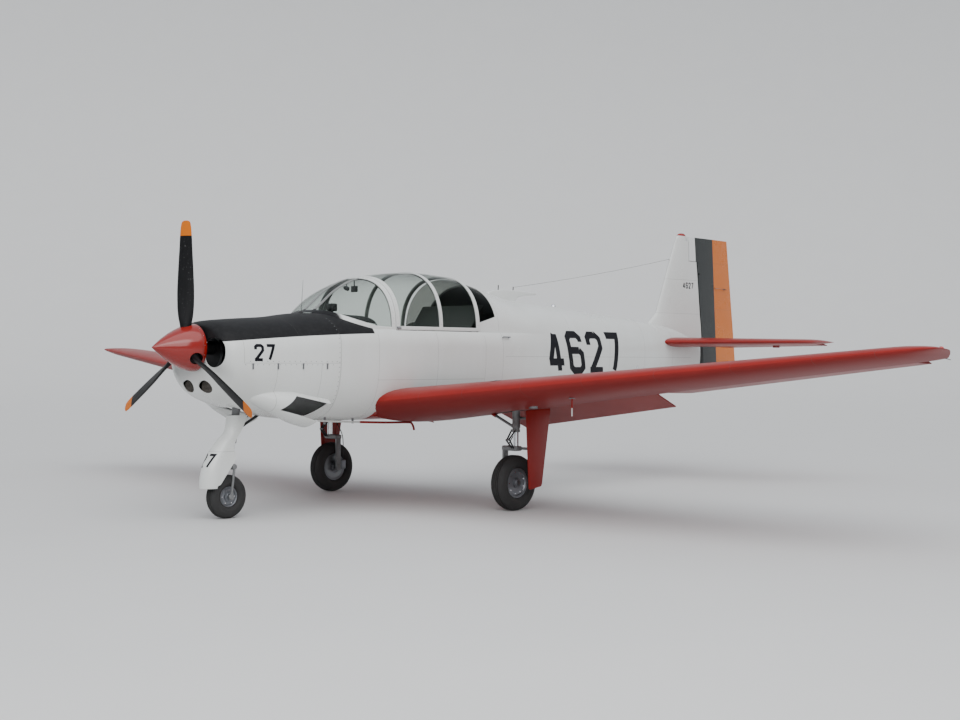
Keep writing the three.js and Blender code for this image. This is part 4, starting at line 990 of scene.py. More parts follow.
def makeWing():
    w, paint, gap = wing, "wing", wing["runGap"]
    panel = wholeWing("wing_left", paint)
    a, b = (wingPoint(y, w["aileronHinge"]) for y in w["aileronSpan"])
    nose = [wingHalf(y, w["aileronHinge"]) for y in w["aileronSpan"]]
    c, d = a - along(a, b, gap), b + along(a, b, gap)
    bay = behind(c, d, 0.6, 0.2, paint)
    bayRound = pipe("bayRound", [c, d], [nose[0] + gap, nose[1] + gap], paint, sides=32)
    half = w["flapPlate"] / 2
    hinge = [wingPoint(y, w["flapStart"], half - wingHalf(y, w["flapStart"])) for y in w["flapSpan"]]
    tail = [wingPoint(y, w["flapEnd"], half - wingHalf(y, w["flapEnd"])) for y in w["flapSpan"]]
    rings = []
    for i, way in ((0, -1), (1, 1)):
        front = hinge[i] + along(*hinge, gap) * way + Vector((half + gap, 0, 0))
        rear = hinge[i] + (tail[i] - hinge[i]) * 4
        rings.append([front + Vector((0, 0, -0.09)), front + Vector((0, 0, half + gap)),
                      Vector((rear.x, front.y, rear.z + half + gap)),
                      Vector((rear.x, front.y, rear.z - 0.09))])
    recess = skin("recess", rings, "inside")
    well = block("well", (1.189, 1.04, 0.7), (1.339, 1.42, 1.075), "inside")
    carve(panel, bay, bayRound, recess, well, hullSolid(2.7, -0.4, 0.0003, paint))
    pad = lathe("pad", [(0, 0.05), (0.04, 0.05), (0.04, 0.002), (0.038, 0), (0, 0)], (1.5, 1.75, 0.958),
                (0, 0, 1), "steel")
    blade = wholeWing("aileron_left", "redPlain", 2.5)
    carve(blade, behind(a, b, 0.6, 0.2, paint), operation="INTERSECT")
    front = pipe("nose", [a, b], [nose[0] - 0.001, nose[1] - 0.001], "redPlain", sides=40)
    carve(blade, front, operation="UNION")
    pins = rod("pins", a - along(a, b, gap + 0.016), b + along(a, b, gap + 0.016), 0.008, "steel")
    aileron = joined("aileron_left", blade, pins)
    flapRings = [[hinge[i] + Vector((0, 0, -half)), hinge[i] + Vector((0, 0, half)),
                  tail[i] + Vector((0, 0, half * 0.5)), tail[i] + Vector((0, 0, -half))] for i in (0, 1)]
    flap = skin("flap_left", flapRings, "redPlain")
    edge = rod("edge", *hinge, half - 0.0002, "redPlain")
    flapPins = rod("pins", hinge[0] - along(*hinge, gap + 0.014), hinge[1] + along(*hinge, gap + 0.014),
                   0.005, "steel")
    flap = joined("flap_left", flap, edge, flapPins)
    right = copied(aileron, "aileron_right", acrossMirror @ about(a, b - a, w["aileronDroop"]))
    turnedMesh(aileron, about(a, b - a, -w["aileronDroop"]))
    turnedMesh(flap, about(hinge[0], hinge[1] - hinge[0], -w["flapAngle"]))
    flapRight = copied(flap, "flap_right", acrossMirror)
    left = joined("wing_left", panel, pad)
    wingRight = copied(left, "wing_right", acrossMirror)
    for piece, body, node in ((left, "airframe", "wing_left"), (wingRight, "airframe", "wing_right"),
                              (aileron, "aileron_left", "aileron_left"),
                              (right, "aileron_right", "aileron_right"), (flap, "flap_left", "flap_left"),
                              (flapRight, "flap_right", "flap_right")):
        dress(piece, body, "red_paint", node)


# Tail surfaces
tail = {"height": 1.6, "hinge": -3.39, "span": (0.15, 1.7), "droop": 8, "thick": 0.09, "torque": 0.014,
        "finThick": 0.085, "hingeTop": (-3.379, 2.885), "hingeFoot": (-3.539, 1.215), "rudderFoot": 1.24,
        "rudderEnd": -4.304, "hornFloor": 2.589, "hornFront": -3.238, "hornGap": 0.014, "lug": 2.44}
tailRows = Table(["lead", "trail"], [
    (0.02, -2.48, -3.8), (1.65, -2.9506, -3.6593), (1.7, -2.965, -3.655), (1.8, -3.01, -3.6),
    (1.86, -3.075, -3.52), (1.88, -3.17, -3.43)])
finRows = Table(["lead", "trail"], [(1.215, -2.3, -4.322), (1.7, -2.403, -4.2636), (1.78, -2.42, -4.254),
                                    (1.85, -2.505, -4.245), (1.957, -2.64, -4.23), (2.05, -2.68, -4.2176),
                                    (2.837, -3.017, -4.113), (2.885, -3.04, -4.107)])


def rudderAxis(z):
    (x1, z1), (x0, z0) = tail["hingeTop"], tail["hingeFoot"]
    return mix(x0, x1, (z - z0) / (z1 - z0))


def tailHalf(y):  # half thickness of the tailplane at its hinge
    row = tailRows(y)
    chord = row.lead - row.trail
    return chord * foilHalf(tail["thick"], (row.lead - tail["hinge"]) / chord)


def wholeTail(name, coat):
    rings = []
    for y in [*span(0.02, 1.7, 12), *span(1.7, 1.86, 8)[1:], 1.868, 1.874, 1.878, 1.88]:
        row = tailRows(y)
        chord, flat = row.lead - row.trail, sqrt(max(1 - ease((y - 1.8) / 0.08) ** 2, 0.0))
        rings.append([Vector((row.lead - f * chord, y, tail["height"] + h * chord * max(flat, 0.12)))
                      for f, h in foil(tail["thick"], 20)])
    return skin(name, rings, coat)


def wholeFin(name, coat, grow=0.0):
    rings = []
    for z in [*span(1.215, 1.78, 5), 1.8, 1.82, 1.84, 1.86, 1.89, 1.92, 1.957, *span(2.0, 2.885, 9)]:
        row = finRows(z)
        chord = row.lead - row.trail
        rings.append([Vector((row.lead + grow - f * chord, h * chord + copysign(grow, h), z))
                      for f, h in foil(tail["finThick"], 20)])
    return skin(name, rings, coat)


def finHalf(z):
    row = finRows(z)
    chord = row.lead - row.trail
    return chord * foilHalf(tail["finThick"], (row.lead - rudderAxis(z)) / chord)


def behindRudder(low, high, ahead, coat):
    return skin("behindRudder", [[Vector((rudderAxis(z) + ahead, -0.2, z)),
                                  Vector((rudderAxis(z) + ahead, 0.2, z)),
                                  Vector((rudderAxis(z) - 1.2, 0.2, z)),
                                  Vector((rudderAxis(z) - 1.2, -0.2, z))] for z in (low, high)], coat)


def makeTailplane():
    t, paint, gap = tail, "tailplane", 0.006
    a, b = (Vector((t["hinge"], y, t["height"])) for y in t["span"])
    nose = [tailHalf(y) for y in t["span"]]
    plane = wholeTail("tailplane_left", paint)
    end = b + Vector((0, gap, 0))
    bay = behind(Vector((t["hinge"], 0, t["height"])), end, 0.6, 0.2, paint)
    bayRound = pipe("bayRound", [a - Vector((0, 0.15, 0)), end], [nose[0] + gap, nose[1] + gap], paint,
                    sides=32)
    carve(plane, bay, bayRound, hullSolid(-2.0, -3.5, 0.0003, paint), wholeFin("grownFin", paint, 0.0003),
          behindRudder(1.215, 2.885, 0.08, paint))
    blade = wholeTail("elevator_left", paint)
    carve(blade, behind(a, b, 0.6, 0.2, paint), operation="INTERSECT")
    slant = skin("slant", [[Vector((x, y, z))
                            for x, y in ((-3.41, -0.1), (-3.41, 0.152), (-3.89, 0.33), (-3.89, -0.1))]
                           for z in (1.4, 1.8)], paint)
    carve(blade, slant)
    front = pipe("nose", [a, b], [nose[0] - 0.001, nose[1] - 0.001], paint, sides=40)
    carve(blade, front, operation="UNION")
    inner = rod("torque", (t["hinge"], 0.0002, t["height"]), a, t["torque"], "steel")
    pin = rod("pin", b, b + Vector((0, 0.022, 0)), 0.008, "steel")
    elevator = joined("elevator_left", blade, inner, pin)
    turnedMesh(elevator, about(a, (0, 1, 0), -t["droop"]))
    for piece, body, node in ((plane, "airframe", "tailplane"), (elevator, "elevator", "elevator")):
        twin = copied(piece, node + "_right", acrossMirror)
        dress(piece, body, "red_paint", node + "_left")
        dress(twin, body, "red_paint", node + "_right")


def makeFin():
    t, paint = tail, "fin"
    blade = wholeFin("fin", paint)
    keep = block("keep", (-4.4, -0.2, 1.65), (-2.0, 0.2, 2.838), paint)
    carve(blade, keep, operation="INTERSECT")
    capRings = []
    for z, size in ((2.83, 1), (2.85, 0.99), (2.868, 0.96), (2.884, 0.9), (2.898, 0.81), (2.91, 0.7),
                    (2.919, 0.55), (2.9245, 0.38), (2.926, 0.2)):
        lean = -3.125 - (z - 2.837) * 0.3
        capRings.append([Vector((lean + 0.104 * size * cos(a), 0.034 * size * sin(a), z))
                         for a in circle(32)])
    carve(blade, skin("cap", capRings, paint), operation="UNION")
    noses = [finHalf(z) for z in (t["rudderFoot"], 2.885)]
    low, high = (Vector((rudderAxis(z), 0, z)) for z in (1.215, 2.884))
    bayRound = pipe("bayRound", [low, high], [noses[0] + 0.007, noses[1] + 0.007], paint, sides=32)
    horn = block("hornBay", (-3.7, -0.2, t["hornFloor"]), (t["hornFront"] + t["hornGap"], 0.2, 2.96), paint)
    carve(blade, bayRound, behindRudder(1.215, 2.885, 0, paint), horn, hullSolid(-2.0, -3.5, 0.0003, paint),
          rod("torqueHole", (t["hinge"], -0.2, t["height"]), (t["hinge"], 0.2, t["height"]), 0.016, paint))
    x = rudderAxis(t["lug"])
    lug = lathe("lug", [(0.0066, -0.004), (0.016, -0.004), (0.016, 0.004), (0.0066, 0.004)],
                (x, 0, t["lug"]), (-0.0954, 0, 0.9954), "steel", loop=True)
    plateBack = block("lugPlate", (x + 0.014, -0.01, t["lug"] - 0.004), (x + 0.09, 0.01, t["lug"] + 0.004),
                      "steel")
    dress(joined("fin", blade, lug, plateBack), "airframe", "white_paint", "fin")


def makeRudder():
    t, paint = tail, "rudder"
    whole = wholeFin("rudder", paint)
    blade = copied(whole, "blade")
    carve(blade, behindRudder(t["rudderFoot"], 2.885, 0, paint),
          block("keep", (t["rudderEnd"], -0.2, 1.2), (-3.0, 0.2, 2.9), paint), operation="INTERSECT")
    noses = [finHalf(z) for z in (t["rudderFoot"], 2.885)]
    low, high = (Vector((rudderAxis(z), 0, z)) for z in (t["rudderFoot"], 2.884))
    carve(blade, pipe("nose", [low, high], [noses[0] - 0.001, noses[1] - 0.001], paint, sides=40),
          operation="UNION")
    carve(whole,
          block("hornBox", (-3.42, -0.2, t["hornFloor"] + 0.006), (t["hornFront"], 0.2, 2.885), paint),
          operation="INTERSECT")
    carve(blade, whole, operation="UNION")
    slot = rod("slot", (rudderAxis(2.428), 0, 2.428), (rudderAxis(2.452), 0, 2.452), 0.062, paint, sides=32)
    carve(blade, slot)
    pin = rod("pin", (rudderAxis(2.41), 0, 2.41), (rudderAxis(2.47), 0, 2.47), 0.006, "steel")
    heel = rod("heelPin", (rudderAxis(1.216), 0, 1.216), (rudderAxis(1.26), 0, 1.26), 0.008, "steel")
    dress(joined("rudder", blade, pin, heel), "rudder", "orange_paint", "rudder")


spine = {"outline": [(0.266, 2.094), (0.2, 2.109), (0.02, 2.122), (-0.25, 2.116), (-0.47, 2.104),
                     (-0.47, 2.081), (-0.3, 2.072), (-0.167, 2.047), (-0.118, 1.985), (-0.118, 1.9),
                     (0.45, 1.9)], "half": 0.034}


def makeSpine():
    rings = [[Vector((x, y, z)) for x, z in spine["outline"]]
             for y in (-spine["half"], -0.024, 0.0, 0.024, spine["half"])]
    fairing = rounded(skin("spine_fairing", rings, "white"), 0.014, 4, 50)
    carve(fairing, hullSolid(0.6, -0.7, 0.0003, "white"))
    dress(fairing, "airframe", "white_paint", "spine_fairing", angle=45)


makeCabin()
makeTailCone()
makeWindshield()
makeCanopy()
makeRearWindow()
finishes["redPlain"] = painted("controlPaint", "red", (), "redDark", rough=0.4, coat=0.08, specular=0.28)
makeWing()
makeTailplane()
makeFin()
makeRudder()
makeSpine()


# Propeller and spinner
propeller = {"base": 3.893, "tip": 4.304, "radius": 0.203, "point": 1.65, "shell": 0.004, "hole": 0.054,
             "seam": 3.925, "blades": 3, "screws": 15}
bladeRows = Table(["chord", "thick", "twist", "foil"],
                  [(0.1, 0.074, 0.074, 55, 0), (0.19, 0.096, 0.06, 50, 0.15), (0.26, 0.124, 0.044, 46, 0.8),
                   (0.35, 0.142, 0.032, 42, 1), (0.48, 0.15, 0.024, 36, 1), (0.64, 0.142, 0.019, 31, 1),
                   (0.82, 0.127, 0.013, 26, 1), (0.98, 0.113, 0.009, 22, 1), (1.045, 0.098, 0.007, 20, 1),
                   (1.068, 0.078, 0.005, 20, 1), (1.078, 0.04, 0.004, 20, 1)])


def spinnerRadius(x):
    f = min(max((x - propeller["base"]) / (propeller["tip"] - propeller["base"]), 0), 1)
    return propeller["radius"] * (1 - f ** propeller["point"])


def bladeRing(radius, turn):
    row, ring = bladeRows(radius), []
    t = -radians(row.twist)
    for a in circle(32):
        u, v = row.chord / 2 * cos(a), row.thick / 2 * sin(a)
        f = (1 + cos(a)) / 2  # 0 at the leading edge, 1 at the trailing edge
        share = 0.62 if v > 0 else 0.3
        swell = 2.6 * sqrt(f) * (1 - f) ** 0.9 if v > 0 else 1.8 * sqrt(f) * (1 - f)
        lift = row.thick * share * swell
        v = mix(v, min(lift, row.thick * 0.56) if v > 0 else -min(lift, row.thick * 0.4), row.foil)
        across, ahead = u * cos(t) - v * sin(t), u * sin(t) + v * cos(t)
        ring.append(Vector((shaft["plane"] + ahead, across * cos(turn) + radius * sin(turn),
                            shaft["z"] - across * sin(turn) + radius * cos(turn))))
    return ring


def makePropeller():
    p, red, dark = propeller, "spinner", "seal"
    length = p["tip"] - p["base"]
    outer = [(0, 0), *[(spinnerRadius(p["base"] + f * length), f * length) for f in span(0, 1, 44)[:-1]],
             (0, length)]
    inner = [(0, -0.05), (p["radius"] - p["shell"], -0.05)]
    inner += [(max(spinnerRadius(p["base"] + f * length) - p["shell"], 0.002), f * length)
              for f in span(0, 0.955, 24)]
    cone = lathe("spinner", outer, (p["base"], 0, shaft["z"]), (1, 0, 0), red, steps=72)
    # the shell's inside takes the black rubber finish: painted shade inside the spinner
    carve(cone, lathe("hollow", [*inner, (0, 0.955 * length)], (p["base"], 0, shaft["z"]), (1, 0, 0), dark))
    for i in range(p["blades"]):
        a = radians(120 * i)
        out = Vector((0, sin(a), cos(a)))
        carve(cone, rod("hole", Vector((shaft["plane"], 0, shaft["z"])) + out * 0.08,
                        Vector((shaft["plane"], 0, shaft["z"])) + out * 0.32, p["hole"], red, sides=40))
    back = lathe("back", [(0, 0.004), (0.194, 0.004), (0.1985, 0.0005), (0.1985, -0.0035), (0.192, -0.0045),
                          (0.06, -0.0045), (0, -0.0045)], (p["base"] + 0.006, 0, shaft["z"]), (1, 0, 0),
                 "steel", steps=64)
    hub = lathe("hub", [(0, -0.065), (0.05, -0.065), (0.072, -0.05), (0.078, 0), (0.072, 0.05), (0.05, 0.07),
                        (0.05, 0.16), (0.04, 0.172), (0, 0.172)], (shaft["plane"], 0, shaft["z"]), (1, 0, 0),
                "steel", steps=40)
    dress(joined("spinner", cone, back, hub), "propeller", "red_paint", "spinner")
    for i in range(p["blades"]):
        stations = [*span(0.086, 0.3, 12), *span(0.32, 1.0, 26), *span(1.01, 1.06, 6), 1.066, 1.07, 1.073,
                    1.0755, 1.077, 1.078]
        leaf = skin("blade", [bladeRing(r, radians(120 * i)) for r in stations], "blade")
        dress(leaf, "propeller", "blade_black", f"propeller_blade_{i + 1}", angle=50)


# Wheels
wheelSizes = {"nose_wheel": {"spot": (3.545, 0, 0.19), "tyre": 0.19, "width": 0.13, "rim": 0.089,
                             "pin": 0.014, "bolts": 6},
              "main_wheel": {"spot": (1.264, 1.298, 0.255), "tyre": 0.255, "width": 0.165, "rim": 0.138,
                             "pin": 0.018, "bolts": 9}}


def tyreProfile(w):
    bead, rise, half = w["rim"] + 0.0006, w["tyre"] - w["rim"], w["width"] / 2 - 0.0006
    wall = [(0, 0.6), (0.05, 0.72), (0.16, 0.9), (0.3, 0.985), (0.44, 1.0), (0.455, 0.985), (0.47, 0.997),
            (0.58, 0.968), (0.7, 0.91), (0.82, 0.79)]
    outside = [(bead + up * rise, h) for up, h in wall]
    outside += [(w["tyre"] - 0.0085, 0.62), (w["tyre"] - 0.004, 0.46)]
    tread = []
    for g in (0.37, 0.13):  # two grooves on each side
        top = w["tyre"] - 0.012 * g * g
        tread += [(top - 0.001, g + 0.045), (top - 0.007, g + 0.03), (top - 0.007, g - 0.03),
                  (w["tyre"], g - 0.045)]
    whole = [(r, h * half) for r, h in outside + tread]
    return whole + [(r, -h) for r, h in whole[::-1]]


def rimProfile(w):
    half, edge, hub = w["width"] / 2, w["rim"], w["pin"] + 0.0008
    face = [(hub, 0.78), (hub + 0.014, 0.79), (hub + 0.017, 0.76), (hub + 0.019, 0.66), (hub + 0.026, 0.64),
            (hub + 0.029, 0.46), (edge * 0.7, 0.4), (edge * 0.8, 0.42), (edge * 0.855, 0.55),
            (edge * 0.93, 0.585), (edge * 0.94, 0.6), (edge - 0.001, 0.6), (edge, 0.585)]
    whole = [(r, h * half) for r, h in face]
    return whole + [(r, -h) for r, h in whole[::-1]]


def makeWheel(name, w, outward):
    spot = Vector((w["spot"][0], outward * w["spot"][1], w["spot"][2]))
    tyre = lathe(name + "_tyre", tyreProfile(w), spot, (0, 1, 0), "tyre", steps=96, loop=True)
    dress(tyre, name, "tyre_rubber", name + "_tyre", angle=38)
    rim = lathe("rim", rimProfile(w), spot, (0, 1, 0), "alloy", steps=72, loop=True)
    cap = lathe("cap", [(0, 0.79 * w["width"] / 2), (w["pin"] + 0.006, 0.79 * w["width"] / 2 - 0.001),
                        (w["pin"] + 0.009, 0.74 * w["width"] / 2), (w["pin"] + 0.009, 0.7 * w["width"] / 2),
                        (0, 0.7 * w["width"] / 2)], spot, (0, outward, 0), "seal", steps=40)
    stem = rod("stem", spot + Vector((w["rim"] * 0.6, outward * 0.4 * w["width"] / 2, w["rim"] * 0.45)),
               spot + Vector((w["rim"] * 0.66, outward * 0.62 * w["width"] / 2, w["rim"] * 0.5)), 0.004,
               "steel", sides=10)
    parts = [rim, cap, stem]
    if name != "nose_wheel":  # brake disc on the inner side
        disc = lathe("disc", [(w["rim"] * 0.5, 0.52), (w["rim"] * 0.84, 0.52), (w["rim"] * 0.84, 0.42),
                              (w["rim"] * 0.5, 0.42)], (0, 0, 0), (0, -outward, 0), "steel", steps=64,
                     loop=True)
        scale = Matrix.Diagonal((1, w["width"] / 2, 1, 1))
        parts.append(turnedMesh(turnedMesh(disc, scale), Matrix.Translation(spot)))
    dress(joined(name + "_rim", *parts), name, "wheel_alloy", name + "_rim", angle=35)
    spots = []
    for i in range(w["bolts"]):
        a = 2 * pi * i / w["bolts"]
        spots.append((spot + Vector((cos(a) * w["rim"] * 0.72, outward * 0.4 * w["width"] / 2,
                                     sin(a) * w["rim"] * 0.72)), Vector((0, outward, 0))))
    studs(name + "_bolts", name, "gear_steel", "chrome", spots, 0.0062, 0.006, taper=0.9)


# Fasteners and cylinder fins: one tree of nodes puts a small turned shape on each point, facing outwards
def studTree():
    tree = bpy.data.node_groups.new("studs", "GeometryNodeTree")
    face = tree.interface
    face.new_socket("Geometry", in_out="INPUT", socket_type="NodeSocketGeometry")
    for title, kind, value in (("Head Radius", "NodeSocketFloat", 0.003),
                               ("Head Height", "NodeSocketFloat", 0.001), ("Taper", "NodeSocketFloat", 0.6),
                               ("Sides", "NodeSocketInt", 6), ("Size Variation", "NodeSocketFloat", 0.08),
                               ("Seed", "NodeSocketInt", 7)):
        socket = face.new_socket(title, in_out="INPUT", socket_type=kind)
        socket.default_value = value
    face.new_socket("Finish", in_out="INPUT", socket_type="NodeSocketMaterial")
    face.new_socket("Geometry", in_out="OUTPUT", socket_type="NodeSocketGeometry")

    def add(kind, **settings):
        made = tree.nodes.new(kind)
        for key, value in settings.items():
            setattr(made, key, value)
        return made
    start, end = add("NodeGroupInput"), add("NodeGroupOutput")
    head = add("GeometryNodeMeshCone")
    facing = add("GeometryNodeInputNamedAttribute", data_type="FLOAT_VECTOR")
    facing.inputs["Name"].default_value = "facing"
    align = add("FunctionNodeAlignRotationToVector", axis="Z")
    least = add("ShaderNodeMath", operation="SUBTRACT")
    most = add("ShaderNodeMath", operation="ADD")
    chance = add("FunctionNodeRandomValue", data_type="FLOAT")
    place, real, coat = (add("GeometryNode" + kind)
                         for kind in ("InstanceOnPoints", "RealizeInstances", "SetMaterial"))
    topSize = add("ShaderNodeMath", operation="MULTIPLY")
    links = [(start.outputs["Head Radius"], head.inputs["Radius Bottom"]),
             (start.outputs["Head Radius"], topSize.inputs[0]), (start.outputs["Taper"], topSize.inputs[1]),
             (topSize.outputs[0], head.inputs["Radius Top"]),
             (start.outputs["Head Height"], head.inputs["Depth"]),
             (start.outputs["Sides"], head.inputs["Vertices"]),
             (start.outputs["Size Variation"], least.inputs[1]),
             (start.outputs["Size Variation"], most.inputs[1]), (least.outputs[0], chance.inputs[2]),
             (most.outputs[0], chance.inputs[3]), (start.outputs["Seed"], chance.inputs["Seed"]),
             (facing.outputs["Attribute"], align.inputs["Vector"]),
             (start.outputs["Geometry"], place.inputs["Points"]),
             (head.outputs["Mesh"], place.inputs["Instance"]), (align.outputs[0], place.inputs["Rotation"]),
             (chance.outputs[1], place.inputs["Scale"]), (place.outputs[0], real.inputs[0]),
             (real.outputs[0], coat.inputs[0]), (start.outputs["Finish"], coat.inputs["Material"]),
             (coat.outputs[0], end.inputs[0])]
    least.inputs[0].default_value = most.inputs[0].default_value = 1.0
    for a, b in links:
        tree.links.new(a, b)
    return tree


stud = studTree()


def studs(name, body, slot, finish, spots, radius, height, sides=6, taper=0.6, variation=0.06):
    mesh = bpy.data.meshes.new(name)
    mesh.from_pydata([tuple(p) for p, out in spots], [], [])
    facing = mesh.attributes.new("facing", "FLOAT_VECTOR", "POINT")
    for i, (p, out) in enumerate(spots):
        facing.data[i].vector = out
    piece = bpy.data.objects.new(name, mesh)
    bpy.context.scene.collection.objects.link(piece)
    step = piece.modifiers.new("studs", "NODES")
    step.node_group = stud
    values = {"Head Radius": radius, "Head Height": height, "Taper": taper, "Sides": sides,
              "Size Variation": variation, "Seed": 11, "Finish": finishes[finish]}
    for item in stud.interface.items_tree:
        if item.in_out == "INPUT" and item.name in values:
            step[item.identifier] = values[item.name]
    applied(piece)
    return dress(piece, body, slot, angle=30)


# Main gear
mainGear = {"x": 1.264, "y": 1.328, "wheelY": 1.298, "z": 0.255,
            "door": [(1.29, 0.885), (0.95, 0.885), (1.07, 0.222), (1.243, 0.196)], "doorY": (1.465, 1.477)}


def makeMainLeg(way, name):
    g, steel, grey = mainGear, "steel", "gearPaint"
    x, y = g["x"], way * g["y"]
    casing = lathe("casing", [(0, 0.334), (0.039, 0.334), (0.039, 0.2), (0.036, 0.19), (0.036, 0.06),
                              (0.0395, 0.055), (0.0395, 0.022), (0.034, 0.018), (0.034, 0.006),
                              (0.0375, 0.003), (0.0375, -0.014), (0.034, -0.018), (0, -0.018)],
                   (x, y, 0.7405), (0, 0, 1), grey, steps=40)
    piston = lathe("piston", [(0, 0), (0.0265, 0), (0.0265, 0.15), (0, 0.15)], (x, y, 0.592), (0, 0, 1),
                   "chrome", steps=40)
    inner, outer = g["wheelY"] - 0.1185, g["y"] + 0.042
    yoke = block("yoke", (x - 0.04, way * inner, 0.549), (x + 0.04, way * outer, 0.595), grey,
                 round=0.012, steps=3)
    armOutline = [(x - 0.026, 0.222), (x + 0.026, 0.222), (x + 0.03, 0.26), (x + 0.029, 0.4),
                  (x + 0.03, 0.56), (x - 0.03, 0.56), (x - 0.029, 0.4), (x - 0.03, 0.26)]
    arm = plate("arm", armOutline, way * inner, way * (inner + 0.0278), grey, round=0.006)
    axle = rod("axle", (x, way * (inner + 0.004), g["z"]), (x, way * (g["wheelY"] + 0.069), g["z"]), 0.0175,
               steel, sides=24)
    caliper = block("caliper", (x - 0.095, way * (inner - 0.004), 0.235),
                    (x - 0.034, way * (inner + 0.034), 0.33), "alloy", round=0.009, steps=3)
    head, foot = Vector((x, way * 0.935, 0.925)), Vector((x, way * (g["y"] - 0.02), 0.765))
    brace = rod("brace", head, foot, 0.013, grey, sides=20)
    sleeve = rod("sleeve", head, head.lerp(foot, 0.38), 0.019, "red", sides=20)
    root = block("root", (x - 0.019, way * 0.905, 0.895), (x + 0.019, way * 0.965, 0.985),
                 "red", round=0.006)
    joint = lathe("joint", [(0.0, -0.024), (0.02, -0.024), (0.02, 0.024), (0.0, 0.024)], head, (1, 0, 0),
                  steel, steps=24)
    links = []  # folding links that keep the wheel straight
    for a, b in (((x + 0.04, 0.735), (x + 0.112, 0.655)), ((x + 0.112, 0.655), (x + 0.044, 0.575))):
        for off in (-0.016, 0.016):
            links.append(rod("link", (a[0], y + off * 1.4, a[1]), (b[0], y + off * 0.7, b[1]), 0.0075,
                             "black", sides=10))
    links.append(rod("linkPin", (x + 0.112, y - 0.022, 0.655), (x + 0.112, y + 0.022, 0.655), 0.008, steel,
                     sides=12))
    lugs = [block("lug", (x + 0.02, y - 0.024, z - 0.012), (x + 0.048, y + 0.024, z + 0.012), grey,
                  round=0.004) for z in (0.738, 0.578)]
    stays = [rod("stay", (x - 0.04, y, z), (x - 0.04, way * (g["doorY"][0] - 0.0004), z), 0.0125, grey)
             for z in (0.85, 0.572)]
    clamps = [block("clamp", (x - 0.058, y - 0.018, z - 0.017), (x - 0.012, y + 0.018, z + 0.017), grey,
                    round=0.005) for z in (0.85, 0.572)]
    hose = pipe("hose", bend([(x - 0.03, y - way * 0.034, 0.9), (x - 0.045, y - way * 0.045, 0.74),
                              (x - 0.052, way * (inner + 0.012), 0.6),
                              (x - 0.055, way * (inner - 0.006), 0.45),
                              (x - 0.06, way * (inner + 0.008), 0.325)], 8), 0.0045, "seal", sides=10)
    leg = joined(name, casing, piston, yoke, arm, axle, caliper, brace, sleeve, root, joint, *links, *lugs,
                 *stays, *clamps, hose)
    dress(leg, "airframe", "gear_steel", name, angle=40)


def makeGearDoor(way, name):
    g = mainGear
    inner, outer = (way * y for y in g["doorY"])
    wingSkin = surfaceOf(made["wing_left"])
    top = [onSurface(wingSkin, (corner[0], 1.471, 0.3), (0, 0, 1))[0].z - 0.006 for corner in g["door"][:2]]
    corners = [Vector((g["door"][i][0], 0, top[i] if i < 2 else g["door"][i][1])) for i in range(4)]
    outline = []
    for i, corner in enumerate(corners):  # small round corners
        before, after = corners[i - 1], corners[(i + 1) % 4]
        a, b = corner + (before - corner).normalized() * 0.022, corner + (after - corner).normalized() * 0.022
        outline += [(p.x, p.z) for p in (a, a.lerp(corner, 0.55).lerp(b.lerp(corner, 0.55), 0.5), b)]
    leaf = plate(name, outline, inner, outer - way * 0.0002, "doorPaint", round=0.003)
    ribs = [rod("rib", (x0, inner - way * 0.0001, z0), (x1, inner - way * 0.0001, z1), 0.005, "doorPaint",
                sides=8)
            for (x0, z0), (x1, z1) in (((1.235, 0.83), (1.195, 0.3)), ((1.03, 0.83), (1.115, 0.3)))]
    dress(joined(name, leaf, *ribs), "airframe", "red_paint", name)
    spots = []
    for (x0, z0), (x1, z1) in (((1.265, 0.88), (1.225, 0.235)), ((0.985, 0.88), (1.09, 0.245))):
        count = int(hypot(x1 - x0, z1 - z0) / 0.045)
        spots += [(Vector((mix(x0, x1, t), outer - way * 0.0003, mix(z0, z1, t))), Vector((0, way, 0)))
                  for t in span(0, 1, count)]
    studs(name + "_rivets", "airframe", "red_paint", "red", spots, 0.0035, 0.0008)


# Nose gear
noseGear = {"foot": Vector((3.525, 0, 0.38)), "top": Vector((3.44, 0, 0.96)),
            "axle": Vector((3.545, 0, 0.19)), "arm": 0.0775, "stayZ": 0.54, "stayX": 3.65}
fairingRows = [(0.272, 3.81, 3.775, 0.088), (0.303, 3.811, 3.668, 0.092), (0.43, 3.79, 3.575, 0.095),
               (0.511, 3.757, 3.51, 0.093), (0.575, 3.719, 3.512, 0.088), (0.6, 3.7, 3.53, 0.085),
               (0.676, 3.637, 3.5, 0.075), (0.768, 3.552, 3.425, 0.067), (0.895, 3.534, 3.366, 0.064)]
fairing = Table(["front", "half"], [(z, front, half) for z, front, rear, half in fairingRows])


def fairingRear(z):
    for low, high in zip(fairingRows, fairingRows[1:]):
        if z <= high[0]:
            return mix(low[2], high[2], max((z - low[0]) / (high[0] - low[0]), 0))
    return fairingRows[-1][2]


def strutAt(z):
    g = noseGear
    return g["foot"].lerp(g["top"], (z - g["foot"].z) / (g["top"].z - g["foot"].z))


